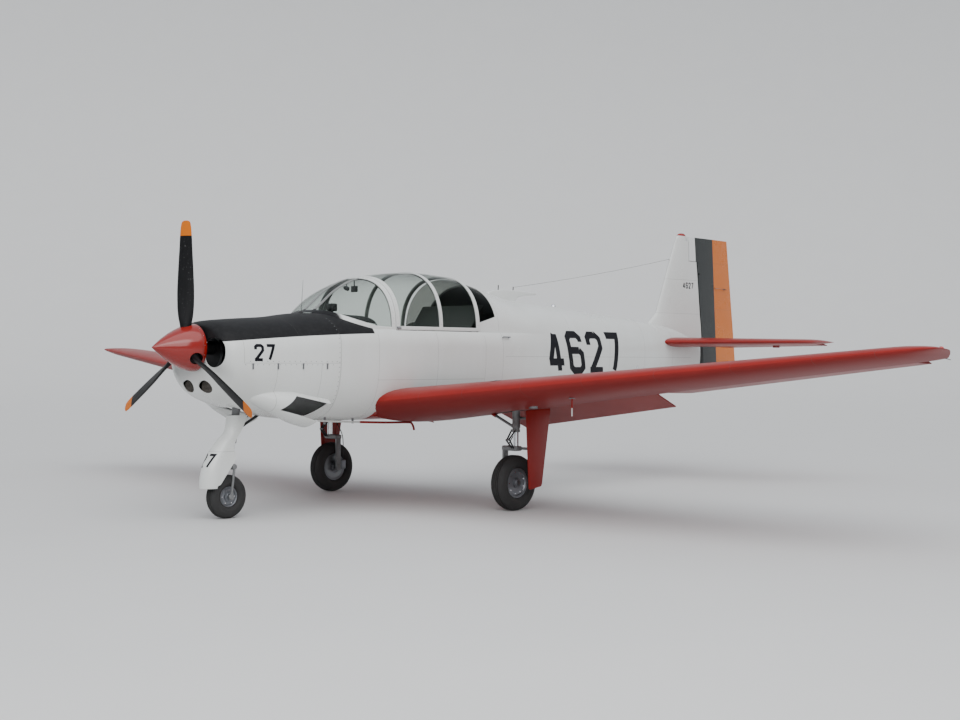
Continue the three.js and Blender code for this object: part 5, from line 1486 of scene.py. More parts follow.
def makeNoseGear():
    g, steel, grey = noseGear, "steel", "gearPaint"
    leg = pipe("leg",
               [strutAt(z) for z in (0.652, 0.662, 0.664, 0.7, 0.705, 0.93, 0.935, 0.97, 0.975, 1.058)],
               [0.034, 0.0375, 0.0375, 0.0375, 0.035, 0.035, 0.038, 0.038, 0.036, 0.036], grey, sides=32)
    braces = [rod("brace", strutAt(1.03), (2.7427, way * 0.15, 1.08), 0.0145, grey) for way in (1, -1)]
    drag = rod("drag", strutAt(0.745), (3.2, 0, 0.892), 0.0125, "black")
    hoses = [pipe("hose", bend([strutAt(0.78) + Vector((-0.03, s * 0.018, 0)),
                                Vector((3.42, s * 0.021, 0.822)), Vector((3.3, s * 0.02, 0.905))], 6),
                  0.0055, "black", sides=10) for s in (1, -1)]
    dress(joined("nose_leg", leg, *braces, drag, *hoses), "airframe", "gear_steel", "nose_leg", angle=40)
    oleo = pipe("oleo", [strutAt(0.6495), strutAt(0.47)], 0.0262, "chrome", sides=32)
    crown = pipe("crown", [(strutAt(0.45).x, y, 0.45) for y in (-0.087, -0.083, -0.077, 0.077, 0.083, 0.087)],
                 [0.018, 0.0235, 0.0255, 0.0255, 0.0235, 0.018], grey, sides=24)
    socket = pipe("socket", [strutAt(z) for z in (0.425, 0.43, 0.49, 0.495)], [0.028, 0.033, 0.033, 0.029],
                  grey, sides=32)
    arms = []
    for way in (1, -1):
        foot = Vector((g["axle"].x, way * g["arm"], g["axle"].z))
        head = Vector((strutAt(0.45).x, way * g["arm"], 0.45))
        arms.append(rod("arm", head, foot, 0.0105, grey, sides=20))
        arms.append(lathe("eye", [(0, -0.0088), (0.023, -0.0088), (0.0255, -0.006), (0.0255, 0.006),
                                  (0.023, 0.0088), (0, 0.0088)], foot, (0, 1, 0), grey, steps=32))
    pin = rod("pin", (g["axle"].x, -0.0808, g["axle"].z), (g["axle"].x, 0.0808, g["axle"].z), 0.0135, steel,
              sides=20)
    stay = rod("stay", strutAt(0.54), (g["stayX"], 0, g["stayZ"]), 0.0115, grey, sides=12)
    bar = rod("bar", (g["stayX"], -0.0876, g["stayZ"]), (g["stayX"], 0.0876, g["stayZ"]), 0.0098, grey,
              sides=12)
    links = [rod("link", strutAt(z) + Vector((0, off, 0)), strutAt(0.555) + Vector((0.075, off * 0.6, 0)),
                 0.006, "black", sides=10) for z in (0.615, 0.5) for off in (-0.018, 0.018)]
    dress(joined("nose_fork", oleo, crown, socket, *arms, pin, stay, bar, *links), "nose_steering",
          "gear_steel", "nose_fork", angle=40)
    heights = [*span(0.272, 0.303, 5), *span(0.31, 0.43, 7), *span(0.445, 0.586, 8), *span(0.61, 0.895, 12)]

    def shellRing(z, inset, reach=0.0):
        row, rear = fairing(z), fairingRear(z)
        nose, half = row.front - min(0.11, row.half * 1.2), row.half - inset
        arc = [Vector((nose + (row.front - inset - nose) * cos(a), half * sin(a), z))
               for a in span(-pi / 2, pi / 2, 33)]
        back = min(rear, nose - 0.005) - reach
        return [*arc, Vector((back, half, z)), Vector((back, -half, z))]
    outer = skin("nose_fairing", [shellRing(z, 0.0003) for z in heights], "fairing")
    hollow = skin("hollow", [shellRing(z, 0.008, 0.2) for z in (0.22, *heights[1:-1], 0.95)], "inside")
    carve(outer, hollow)
    dress(outer, "nose_steering", "white_paint", "nose_fairing", angle=35)


finishes["spinner"] = painted("spinnerPaint", "red", [("x", propeller["seam"])], "redDark", rough=0.16)
finishes["gearPaint"] = grained("gearPaint", shade(0.2, 0.205, 0.21), shade(0.12), 0.38, 500, 0.0002,
                                coat=0.2)
finishes["doorPaint"] = painted("doorPaint", "red", (), "redDark", rough=0.38, coat=0.08, specular=0.28)
finishes["fairing"] = painted("fairingPaint", "white", [("z", 0.586)], "whiteDust")
makePropeller()
makeWheel("nose_wheel", wheelSizes["nose_wheel"], 1)
for way, sideName in bothSides:
    makeWheel("main_wheel_" + sideName, wheelSizes["main_wheel"], way)
    makeMainLeg(way, "main_leg_" + sideName)
    makeGearDoor(way, "gear_door_" + sideName)
makeNoseGear()


# Engine, seen through the cowl's openings
engine = {"x": (2.96, 3.72), "cylinders": [(3.56, 1), (3.5, -1), (3.21, 1), (3.15, -1)], "fins": 15,
          "pitch": 0.011, "z": 1.4}


def makeEngine():
    e, iron, alloy, dark = engine, "iron", "alloy", "seal"
    case = block("case", (e["x"][0] + 0.004, -0.15, 1.265), (3.64, 0.15, 1.555), iron, round=0.03, steps=3)
    neck = lathe("neck", [(0, 0), (0.115, 0), (0.115, 0.012), (0.085, 0.03), (0.0595, 0.05), (0.0595, 0.252),
                          (0, 0.252)], (3.64, 0, shaft["z"]), (1, 0, 0), iron, steps=40)
    sump = block("sump", (3.004, -0.166, 1.134), (3.556, 0.166, 1.275), alloy, round=0.03, steps=3)
    parts, fins = [case, neck, sump], []
    for x, way in e["cylinders"]:
        parts.append(rod("barrel", (x, way * 0.12, e["z"]), (x, way * 0.336, e["z"]), 0.052, iron, sides=24))
        parts.append(block("head", (x - 0.072, way * 0.29, e["z"] - 0.075),
                           (x + 0.072, way * 0.384, e["z"] + 0.075), alloy, round=0.014, steps=3))
        for i in range(e["fins"]):
            fins.append((Vector((x, way * (0.15 + i * e["pitch"]), e["z"])), Vector((0, way, 0))))
        parts.append(rod("pushrod", (x - 0.04, way * 0.14, 1.31), (x - 0.05, way * 0.33, 1.33), 0.008,
                         "chrome", sides=10))
        parts.append(pipe("lead", bend([(x + 0.03, way * 0.1, 1.548), (x + 0.03, way * 0.2, 1.545),
                                        (x + 0.02, way * 0.3, 1.5), (x + 0.01, way * 0.33, 1.478)], 6),
                          0.0045, "amber", sides=8))
        parts.append(pipe("exhaust", bend([(x, way * 0.33, 1.335), (x - 0.01, way * 0.345, 1.28),
                                           (x - 0.06, way * 0.3, 1.255), (x - 0.16, way * 0.22, 1.252)], 6),
                          0.022, "steel", sides=16))
    ring = lathe("starterRing", [(0.135, -0.006), (0.165, -0.006), (0.165, 0.006), (0.135, 0.006)],
                 (3.7, 0, shaft["z"] - 0.04), (1, 0, 0), "steel", steps=64, loop=True)
    disc = lathe("disc", [(0, -0.004), (0.137, -0.004), (0.137, 0.004), (0, 0.004)],
                 (3.7, 0, shaft["z"] - 0.04), (1, 0, 0), iron)
    baffles = [block("baffle", (3.638, way * 0.155, 1.255), (3.642, way * 0.382, 1.566), dark)
               for way in (1, -1)]
    mounts = [rod("mount", (e["x"][0] + 0.06, way * y, z), (2.7427, way * (y + 0.1), z + dz), 0.0165, "steel")
              for way in (1, -1) for y, z, dz in ((0.12, 1.3, -0.08), (0.12, 1.5, 0.1))]
    dress(joined("engine_block", *parts, ring, disc, *baffles, *mounts), "airframe", "engine_casting",
          "engine_block", angle=40)
    studs("cylinder_fins", "airframe", "engine_casting", "iron", fins, 0.07, 0.0022, sides=32, taper=1.0,
          variation=0.0)


# Cockpit
panel = {"x": (2.2962, 2.3136), "z": (1.33, 1.7), "half": 0.572, "dials": 0.04, "small": 0.029}
dialPlaces = [(y, z, "dials") for y in (0.115, 0.215, 0.315) for z in (1.63, 1.535)]
dialPlaces += [(0.41, 1.6, "small"), (0.41, 1.52, "small"), (-0.115, 1.63, "dials"), (-0.215, 1.63, "dials"),
               (-0.115, 1.535, "small"), (-0.2, 1.535, "small"), (-0.285, 1.535, "small"),
               (-0.37, 1.535, "small"), (-0.315, 1.63, "small")]


def hoodRing(x, low, high):
    reach = min((x - 2.26) / 0.3, 1)
    half = min(hullHalf(x, 1.64) - 0.034, mix(0.555, 0.5, reach))
    ring = []
    for grow in (high, low):
        line = [Vector((x, half * power(cos(a), 0.75) * (1 if grow == high else 0.992),
                        1.64 + (mix(0.152, 0.165, reach) + grow) * power(sin(a), 0.62)))
                for a in span(0, pi, 33)]
        ring += line if grow == high else line[::-1]
    return ring


def makePanel():
    p, crackle, front = panel, "crackle", panel["x"][0]
    board = plate("board", [(p["x"][0], p["z"][0]), (p["x"][1], p["z"][0]), (p["x"][1], p["z"][1]),
                            (p["x"][0], p["z"][1])], -p["half"], p["half"], crackle, round=0.003)
    carve(board, hullSolid(2.5, 2.1, -0.0275, crackle), operation="INTERSECT")
    parts = [board]
    for y, z, size in dialPlaces:
        r = p[size]
        parts.append(lathe("bezel", [(r - 0.006, 0), (r, 0), (r, 0.004), (r - 0.002, 0.006),
                                     (r - 0.005, 0.006), (r - 0.0055, 0.002)], (front + 0.001, y, z),
                           (-1, 0, 0), "steel", steps=32, loop=True))
        parts.append(lathe("face", [(0, 0), (r - 0.0056, 0), (r - 0.0056, 0.0025), (0, 0.0025)],
                           (front + 0.001, y, z), (-1, 0, 0), "dial", steps=32))
        turn = (y * 37 + z * 91) % (2 * pi)
        tip = Vector((0, cos(turn), sin(turn))) * (r - 0.013)
        parts.append(rod("hand", (front - 0.0022, y, z), Vector((front - 0.0022, y, z)) + tip, 0.0014,
                         "dialWhite", sides=6))
    parts.append(block("stack", (front - 0.014, -0.052, 1.352), (front + 0.001, 0.06, 1.66), "dial",
                       round=0.004))
    for z in (1.635, 1.585, 1.535, 1.485, 1.435, 1.385):
        parts.append(block("unit", (front - 0.017, -0.048, z - 0.02), (front - 0.013, 0.056, z + 0.02),
                           crackle, round=0.002))
        for y in (-0.037, 0.045):
            parts.append(lathe("knob", [(0, 0.012), (0.006, 0.012), (0.0075, 0.008), (0.008, 0), (0, 0)],
                               (front - 0.0165, y, z), (-1, 0, 0), "steel", steps=16))
    # engine controls under the stack
    for y, paint in ((0.03, "amber"), (0.005, "dial"), (-0.02, "dialWhite")):
        parts.append(rod("lever", (front + 0.001, y, 1.345), (front - 0.055, y, 1.345), 0.004, "steel",
                         sides=10))
        parts.append(lathe("grip",
                           [(0, 0.022), (0.009, 0.02), (0.012, 0.012), (0.01, 0.002), (0.004, 0), (0, 0)],
                           (front - 0.05, y, 1.345), (-1, 0, 0), paint, steps=20))
    hood = skin("hood", [hoodRing(x, -0.004, 0.004) for x in span(2.2606, 2.556, 12)], "shield")
    carve(hood, archCore(2.6, 2.2, -0.032, 1.5, "shield", step=0.02), operation="INTERSECT")
    carve(hood, block("hoodSides", (2.2, -0.56, 1.62), (2.7, 0.56, 1.9), "shield"), operation="INTERSECT")
    roll = pipe("roll", [Vector((2.2665, p.y, p.z)) for p in hoodRing(2.2606, 0, 0)[:33][2:-2]], 0.0062,
                "vinyl", sides=10)
    compass = block("compass", (2.322, -0.042, 1.832), (2.394, 0.042, 1.905), "dial", round=0.014, steps=3)
    parts.append(pipe("pedestal", [(2.358, 0, z) for z in (1.785, 1.8, 1.806, 1.836)],
                      [0.03, 0.026, 0.014, 0.014], "dial", sides=20))
    parts += [hood, roll, compass]
    dress(joined("instrument_panel", *parts), "airframe", "black_trim", "instrument_panel", angle=38)
    ticks = []
    for y, z, size in dialPlaces:
        for i in range(12):
            a = radians(30 * i)
            ticks.append((Vector((front - 0.0015, y + (panel[size] - 0.0085) * sin(a),
                                  z + (panel[size] - 0.0085) * cos(a))), Vector((-1, 0, 0))))
    studs("dial_marks", "airframe", "black_trim", "dialWhite", ticks, 0.0013, 0.0004, sides=4, taper=1.0,
          variation=0.0)


seat = {"y": 0.236, "half": 0.203, "pan": (1.382, 1.848, 1.101, 1.178),
        "back": [(1.39, 1.11), (1.47, 1.13), (1.33, 1.7), (1.24, 1.7)], "frame": (1.39, 1.83, 1.0, 1.11)}


def cushion(name, frameOf, sizes, channels, coat):  # crowned closed pad: u along, v across, w through
    rows = columns = 28
    long, wide, thick = sizes

    def spot(u, v, top):
        pull = 1 - 0.035 * (1 - abs(v))
        edge = max(abs(u) ** 7, abs(v) ** 7)
        swell = (1 - abs(u) ** 3.2) * (1 - abs(v) ** 3.2)
        groove = sum(max(0, 1 - abs(u - c) / 0.045) ** 1.4 for c in channels) * 0.14 * (1 - abs(v) ** 6)
        inward = 1 - 0.03 * (1 - max(abs(u), abs(v)))
        height = 0.5 + 0.5 * swell - groove - 0.22 * edge if top else -0.5 * (1 - 0.25 * edge)
        return frameOf(u * long / 2 * inward, v * wide / 2 * (1 - 0.02 * (1 - abs(u) ** 2)) * pull,
                       height * thick)
    us, vs = span(-1, 1, rows + 1), span(-1, 1, columns + 1)
    points = [spot(u, v, True) for u in us for v in vs] + [spot(u, v, False) for u in us for v in vs]
    count, faces = (rows + 1) * (columns + 1), []
    for i in range(rows):
        for j in range(columns):
            a = i * (columns + 1) + j
            faces.append((a, a + columns + 1, a + columns + 2, a + 1))
            faces.append((count + a, count + a + 1, count + a + columns + 2, count + a + columns + 1))
    border = [*range(columns + 1)] + [i * (columns + 1) + columns for i in range(1, rows + 1)]
    border += [rows * (columns + 1) + j for j in range(columns - 1, -1, -1)]
    border += [i * (columns + 1) for i in range(rows - 1, 0, -1)]
    for k, a in enumerate(border):
        b = border[(k + 1) % len(border)]
        faces.append((a, b, count + b, count + a))
    return rounded(meshPiece(name, points, faces, coat), 0.012, 3, 50)


def makeSeat(way, name):
    s = seat
    y = way * s["y"]
    x0, x1, z0, z1 = s["frame"]
    rails = [block("rail", (x0 + 0.002, y + off - 0.012, z0 + 0.0004),
                   (x1 - 0.002, y + off + 0.012, z0 + 0.024), "steel", round=0.004) for off in (-0.15, 0.15)]
    legs = [rod("leg", (x, y + off, z0 + 0.012), (x + 0.03, y + off, z1 - 0.006), 0.012, "black")
            for off in (-0.15, 0.15) for x in (x0 + 0.05, x1 - 0.09)]
    tray = block("tray", (x0 + 0.002, y - 0.163, z1 - 0.022), (x1 - 0.004, y + 0.163, z1 - 0.002), "black",
                 round=0.006)
    (bx0, bz0), (bx1, bz1), (bx2, bz2), (bx3, bz3) = s["back"]
    shell = plate("shell", [(bx0 + 0.001, bz0), (bx0 + 0.02, bz0 + 0.002), (bx3 + 0.02, bz3 - 0.002),
                            (bx3 + 0.001, bz3 - 0.002)], y - s["half"] + 0.003, y + s["half"] - 0.003,
                  "vinyl", round=0.008)
    dress(joined(name, *rails, *legs, tray, shell), "airframe", "seat_cover", name, angle=40)
    px0, px1, pz0, pz1 = s["pan"]
    middle = Vector(((px0 + px1) / 2 + 0.035, y, (pz0 + pz1) / 2 - 0.004))
    tilt = radians(3)
    lowPad = cushion(name + "_cushion",
                     lambda u, v, w: middle + Vector((u * cos(tilt), v, u * sin(tilt) + w * 0.92)),
                     (0.385, 0.4, 0.066), (-0.34, 0.34), "cloth")
    up = Vector((bx3 - bx0, 0, bz3 - bz0)).normalized()
    out = Vector((up.z, 0, -up.x))
    centre = Vector(((bx0 + bx1 + bx2 + bx3) / 4, y, (bz0 + bz1 + bz2 + bz3) / 4)) + out * 0.008 + up * 0.014
    backPad = cushion(name + "_back", lambda u, v, w: centre + up * u + Vector((0, v, 0)) + out * w,
                      (0.515, 0.398, 0.054), (-0.5, 0.0, 0.5), "cloth")
    for pad, fill in ((lowPad, 0.65), (backPad, 0.6)):
        dress(pad, "airframe", "seat_cover", angle=60)
    belts = []
    for off in (-0.075, 0.075):  # shoulder straps lie down the back cushion, lap ends cross the seat
        path = [centre + up * u + Vector((0, off * (1 - 0.25 * t), 0))
                + out * (0.5 * 0.054 * (0.9 + 0.45 * (1 - abs(u / 0.26) ** 3)) + 0.007)
                for t, u in ((0, 0.245), (0.25, 0.15), (0.5, 0.03), (0.75, -0.09), (1, -0.185))]
        belts.append(strap("strap", bend(path, 5), out, 0.042, 0.0024, "webbing"))
        spots = ((-0.01, 0.186, 0.03), (0.01, 0.14, 0.06), (0.03, 0.08, 0.071), (0.045, 0.024, 0.074))
        lap = [middle + Vector((u - 0.15, copysign(v, off), w)) for u, v, w in spots]
        belts.append(strap("strap", bend(lap, 5), Vector((0, 0, 1)), 0.042, 0.0024, "webbing"))
    buckle = block("buckle", (middle.x - 0.15 + 0.018, y - 0.028, middle.z + 0.072),
                   (middle.x - 0.15 + 0.078, y + 0.028, middle.z + 0.084), "chrome", round=0.005, steps=3)
    dress(joined(name + "_belts", *belts, buckle), "airframe", "black_trim", angle=40)


def strap(name, path, facing, width, thick, coat):
    rings = []
    for i, p in enumerate(path):
        ahead = (path[min(i + 1, len(path) - 1)] - path[max(i - 1, 0)]).normalized()
        across = ahead.cross(Vector(facing)).normalized() * width / 2
        over = across.cross(ahead).normalized() * thick / 2
        rings.append([p - across - over, p + across - over, p + across + over, p - across + over])
    return skin(name, rings, coat)


def makeControls():
    bar = rod("bar", (2.0, -0.269, 1.03), (2.0, 0.269, 1.03), 0.0135, "black", sides=20)
    foot = block("foot", (1.9855, -0.0195, 1.0004), (2.0145, 0.0195, 1.04), "black", round=0.003)
    parts = [bar, foot]
    for way in (1, -1):
        y = way * 0.236
        parts.append(pipe("stick",
                          bend([(2.0, y, 1.03), (1.995, y, 1.1), (1.975, y, 1.28), (1.96, y, 1.42)], 6),
                          0.0115, "black", sides=16))
        profile = [0.013, 0.0165, 0.015, 0.0175, 0.016, 0.018, 0.0165, 0.019, 0.0195, 0.017, 0.009]
        parts.append(pipe("grip",
                          [Vector((mix(1.9605, 1.9505, t), y, mix(1.4, 1.499, t))) for t in span(0, 1, 11)],
                          profile, "dial", sides=20))
        parts.append(pipe("boot", [(2.0, y, z) for z in (1.0165, 1.022, 1.028, 1.034, 1.044, 1.046)],
                          [0.014, 0.0135, 0.0135, 0.0135, 0.0135, 0.012], "vinyl", sides=20))
        parts.append(rod("button", (1.9625, y, 1.478), (1.971, y, 1.48), 0.005, "amber", sides=10))
    dress(joined("control_sticks", *parts), "airframe", "black_trim", "control_sticks", angle=40)


def makeBulkhead():
    board = plate("board", [(1.0104, 1.0004), (1.0236, 1.0004), (1.0236, 1.59), (1.0104, 1.6)], -0.5545,
                  0.5545, "bulkhead")
    slope = plate("slope", [(1.0236, 1.592), (1.012, 1.5985), (0.762, 1.9295), (0.779, 1.9295)], -0.4295,
                  0.4295, "bulkhead", round=0.003)
    beads = [rod("bead", (1.0238, y, 1.06), (1.0238, y, 1.54), 0.005, "bulkhead", sides=10)
             for y in (-0.42, -0.21, 0, 0.21, 0.42)]
    reels = [lathe("reel",
                   [(0, -0.024), (0.026, -0.024), (0.03, -0.018), (0.03, 0.018), (0.026, 0.024), (0, 0.024)],
                   (1.052, way * 0.236, 1.545), (0, 1, 0), "steel", steps=24) for way in (1, -1)]
    dress(joined("rear_bulkhead", board, slope, *beads, *reels), "airframe", "cabin_lining", "rear_bulkhead",
          angle=40)


finishes["shield"] = grained("glareShield", shade(0.01, 0.01, 0.011), shade(0.02), 0.8, 300, 0.0006)
finishes["bulkhead"] = grained("bulkheadPaint", shade(0.022, 0.026, 0.024), shade(0.04, 0.044, 0.04), 0.6,
                               350, 0.0003)
makeEngine()
makePanel()
makeSeat(1, "seat_left")
makeSeat(-1, "seat_right")
makeControls()
makeBulkhead()


# Markings: block digits as strokes in a unit cell, laid on a surface as a thin skin
digitStrokes = {
    "2": [[(0, 0.72), (0, 0.9), (0.22, 1), (0.78, 1), (1, 0.9), (1, 0.66), (0.05, 0.02)],
          [(-0.13, 0), (1, 0)]],
    "4": [[(0.62, 1), (0.03, 0.27)], [(-0.1, 0.24), (1.1, 0.24)], [(0.7, 1), (0.7, 0)]],
    "6": [[(1, 0.8), (1, 0.9), (0.78, 1), (0.22, 1), (0, 0.9), (0, 0.1), (0.22, 0), (0.78, 0), (1, 0.1),
           (1, 0.46), (0.78, 0.56)], [(0.8, 0.56), (0, 0.56)]],
    "7": [[(0, 1), (1, 1), (0.36, 0)]],
}


def strokeSlab(points, thick):
    half, left, right = thick / 2, [], []
    for i, p in enumerate(points):
        before = (p - points[i - 1]).normalized() if i else None
        after = (points[i + 1] - p).normalized() if i < len(points) - 1 else None
        if before and after:
            normal = Vector((-(before + after).y, (before + after).x, 0)).normalized()
            reach = half / max(normal.dot(Vector((-before.y, before.x, 0))), 0.45)
        else:
            way = before or after
            normal, reach = Vector((-way.y, way.x, 0)), half
        left.append(p + normal * reach)
        right.append(p - normal * reach)
    outline = left + right[::-1]
    return skin("stroke", [[p + Vector((0, 0, h)) for p in outline] for h in (0.0, 1.0)], "digit")


def flatDigits(text, wide, tall, thick, gap):
    whole, start = None, 0.0
    for letter in text:
        for stroke in digitStrokes[letter]:
            points = [Vector((start + thick / 2 + u * (wide - thick), thick / 2 + v * (tall - thick), 0))
                      for u, v in stroke]
            slab = strokeSlab(points, thick)
            whole = carve(whole, slab, operation="UNION") if whole else slab
        start += wide + gap
    return whole


def decal(name, body, text, sizes, ray, target, step=0.03, lift=0.0007):
    wide, tall, thick, gap = sizes
    flat = flatDigits(text, wide, tall, thick, gap)
    work = bmesh.new()
    work.from_mesh(flat.data)
    length = len(text) * (wide + gap)
    for axis, reach in ((Vector((1, 0, 0)), length), (Vector((0, 1, 0)), tall)):
        for i in range(1, int(reach / step) + 1):
            parts = work.verts[:] + work.edges[:] + work.faces[:]
            bmesh.ops.bisect_plane(work, geom=parts, plane_co=axis * i * step, plane_no=axis, dist=1e-7)
    bmesh.ops.triangulate(work, faces=work.faces)
    surface = surfaceOf(target)
    for vertex in work.verts:
        hit, out = onSurface(surface, *ray(vertex.co.x, vertex.co.y))
        vertex.co = hit + out * (lift if vertex.co.z > 0.5 else -lift)
    if work.calc_volume(signed=True) < 0:
        bmesh.ops.reverse_faces(work, faces=work.faces)
    work.to_mesh(flat.data)
    work.free()
    flat.name = flat.data.name = name
    return dress(flat, body, "black_trim", angle=60)


# text, width, height, stroke and gap of a digit, foremost x, foot z, lean
markings = {"cowl": ("27", 0.092, 0.146, 0.026, 0.016, 3.625, 1.368, 0.0),
            "side": ("4627", 0.298, 0.458, 0.076, 0.082, -0.17, 1.236, 0.3),
            "fin": ("4627", 0.044, 0.075, 0.0125, 0.013, -3.1, 2.255, 0.0),
            "fairing": ("27", 0.07, 0.122, 0.0195, 0.014, 0.0, 0.448, 0.0)}


def makeMarkings():
    for way, sideName in bothSides:
        for place, target in (("cowl", "cowl"), ("side", "tail_cone"), ("fin", "fin")):
            text, *sizes, x, z, lean = markings[place]
            length = len(text) * (sizes[0] + sizes[3]) - sizes[3]

            def ray(u, v):
                along = (x - u if way > 0 else x - length + u) + v * lean
                return (along, way * 1.2, z + v), (0, -way, 0)
            decal(f"{place}_digits_{sideName}", "airframe", text, sizes, ray, made[target])
    text, *sizes, x, z, lean = markings["fairing"]
    length = len(text) * (sizes[0] + sizes[3]) - sizes[3]

    def wrap(u, v):  # round the nose fairing's curved front
        height = z + v
        axis = Vector((fairing(height).front - 0.1, 0, height))
        angle = (u - length / 2) / 0.098
        way = Vector((cos(angle), sin(angle), 0))
        return axis + way * 0.6, -way
    decal("fairing_digits", "nose_steering", text, sizes, wrap, made["nose_fairing"], step=0.012)


# Rivets and screws in rows on the finished surfaces
# points along a path, thrown at the surface from outside
def rowOn(surface, points, pitch, origin, reach=0.6):
    spots, at = [], 0.0
    for a, b in zip(points, points[1:]):
        length = (b - a).length
        while at < length:
            p = a.lerp(b, at / length)
            start = origin(p)
            hit, out = onSurface(surface, start, p - start, reach)
            if hit:
                spots.append((hit - out * 0.0002, out))
            at += pitch
        at -= length
    return spots


def ringRow(surface, x, pitch, low, high):
    ring, spots = sectionRing(x, 0.03), []
    middle = Vector((x, 0, fuselage(x).middle))
    for half in (ring[:len(ring) // 2 + 1], ring[len(ring) // 2:] + ring[:1]):
        path = [p for p in half if low <= p.z <= high]
        if len(path) > 1:
            spots += rowOn(surface, path, pitch, lambda p: p + (p - middle).normalized() * 0.02, 0.15)
    return spots


def sideRow(surface, x0, x1, z, pitch):
    spots = []
    for way in (1, -1):
        path = [Vector((x, way * (hullHalf(x, z) - 0.01), z)) for x in span(x0, x1, 24)]
        spots += rowOn(surface, path, pitch, lambda p: Vector((p.x, way * 1.2, p.z)), 0.9)
    return spots


rivets = {"pitch": 0.036, "radius": 0.0031, "height": 0.0006, "wingPitch": 0.045}


def rivetPiece(name, slot, finish, spots):
    studs(name, "airframe", slot, finish, spots, rivets["radius"], rivets["height"])


def screwPiece(name, body, spots, radius=0.0042, height=0.0009):
    studs(name, body, "gear_steel", "steel", spots, radius, height, sides=8, taper=0.8)


def rowFrom(surface, path, pitch, offset):  # every point is thrown from the same side
    return rowOn(surface, path, pitch, lambda p: p + Vector(offset), 0.4)


def hullSpots(target, frames, top, lines, front, rear):
    surface, spots = surfaceOf(made[target]), []
    for x in frames:
        spots += ringRow(surface, x, rivets["pitch"], 0.86, top)
    for z in lines:
        spots += sideRow(surface, front, rear, z, rivets["pitch"])
    return spots


def fastenFuselage():
    cowlSkin = surfaceOf(made["cowl"])
    spots = ringRow(cowlSkin, 2.757, 0.045, 0.88, 1.78)
    for front, z in ((3.7, 1.338), (3.66, 1.367)):
        spots += sideRow(cowlSkin, front, 2.78, z, 0.055)
    screwPiece("cowl_screws", "airframe", spots)
    spots = hullSpots("cabin_shell", (2.722, 2.31, 2.29, 1.57, 1.55, 0.655), 1.6, (1.212, 1.188, 1.605), 2.7,
                      0.66)
    rivetPiece("cabin_rivets", "white_paint", "white", spots)
    spots = hullSpots("tail_cone", (0.622, -0.548, -0.572, -1.288, -1.312, -2.038, -2.062, -2.708, -2.732),
                      2.2, (1.432, 1.408), 0.6, -3.2)
    rivetPiece("tail_rivets", "white_paint", "white", spots)


def fastenWing(way, sideName):
    surface, spots = surfaceOf(made["wing_" + sideName]), []

    def row(path, *offsets):
        path = [Vector((p.x, way * p.y, p.z)) for p in path]
        for offset in offsets:
            spots.extend(rowFrom(surface, path, rivets["wingPitch"], (0, 0, offset)))
    for y in ribPlaces:
        for beside in (-0.012, 0.012):
            row([wingPoint(y + beside, f) for f in span(0.04, 0.74, 20)], 0.3, -0.3)
    row([wingPoint(y, 0.3) for y in span(0.62, 5.05, 40)], 0.3, -0.3)
    row([wingPoint(y, 0.725) for y in span(0.62, 5.05, 40)], 0.3)
    rivetPiece(f"wing_{sideName}_rivets", "red_paint", "red", spots)
    surface, spots = surfaceOf(made["tailplane_" + sideName]), []
    for y in (0.588, 0.612, 1.138, 1.162, 1.668):
        path = [Vector((x, way * y, tail["height"])) for x in span(tailRows(y).lead - 0.02, -3.3, 12)]
        for up in (0.3, -0.3):
            spots += rowFrom(surface, path, 0.04, (0, 0, up))
    rivetPiece(f"tailplane_{sideName}_rivets", "red_paint", "red", spots)


def fastenRest():
    surface, spots = surfaceOf(made["fin"]), []
    for z in (1.938, 1.962, 2.348, 2.372, 2.56):
        path = [Vector((x, 0, z)) for x in span(finRows(z).lead - 0.02, rudderAxis(z) + 0.06, 12)]
        for way in (1, -1):
            spots += rowFrom(surface, path, rivets["pitch"], (0, way * 0.3, 0))
    rivetPiece("fin_rivets", "white_paint", "white", spots)
    surface, spots = surfaceOf(made["spinner"]), []
    centre = Vector((3.91, 0, shaft["z"]))
    for i in range(propeller["screws"]):
        a = 2 * pi * (i + 0.5) / propeller["screws"]
        out = Vector((0, sin(a), cos(a)))
        spots += rowOn(surface, [centre, centre + out * 0.0001], 1, lambda p: centre + out * 0.3, 0.3)
    screwPiece("spinner_screws", "propeller", spots)
    for name, body, target, places, pitch, rise in (
            ("windshield_screws", "airframe", "windshield_frame", [2.076], 0.055, 0.0),
            ("canopy_screws", "canopy", "canopy_frame", [2.023, 1.466, 0.963], 0.06, 0.05)):
        surface, spots = surfaceOf(made[target]), []
        for x in places:
            path = archLine(x, 0.03, canopy["base"] + rise)
            spots += rowOn(surface, path, pitch, lambda p: p + (p - Vector((x, 0, 1.7))).normalized() * 0.02,
                           0.1)
        screwPiece(name, body, spots, 0.0034, 0.0008)


# Small fittings, each sitting on the surface that carries it

def fitting(name, parts, slot="gear_steel", body="airframe", angle=40):
    return dress(joined(name, *parts), body, slot, angle=angle)


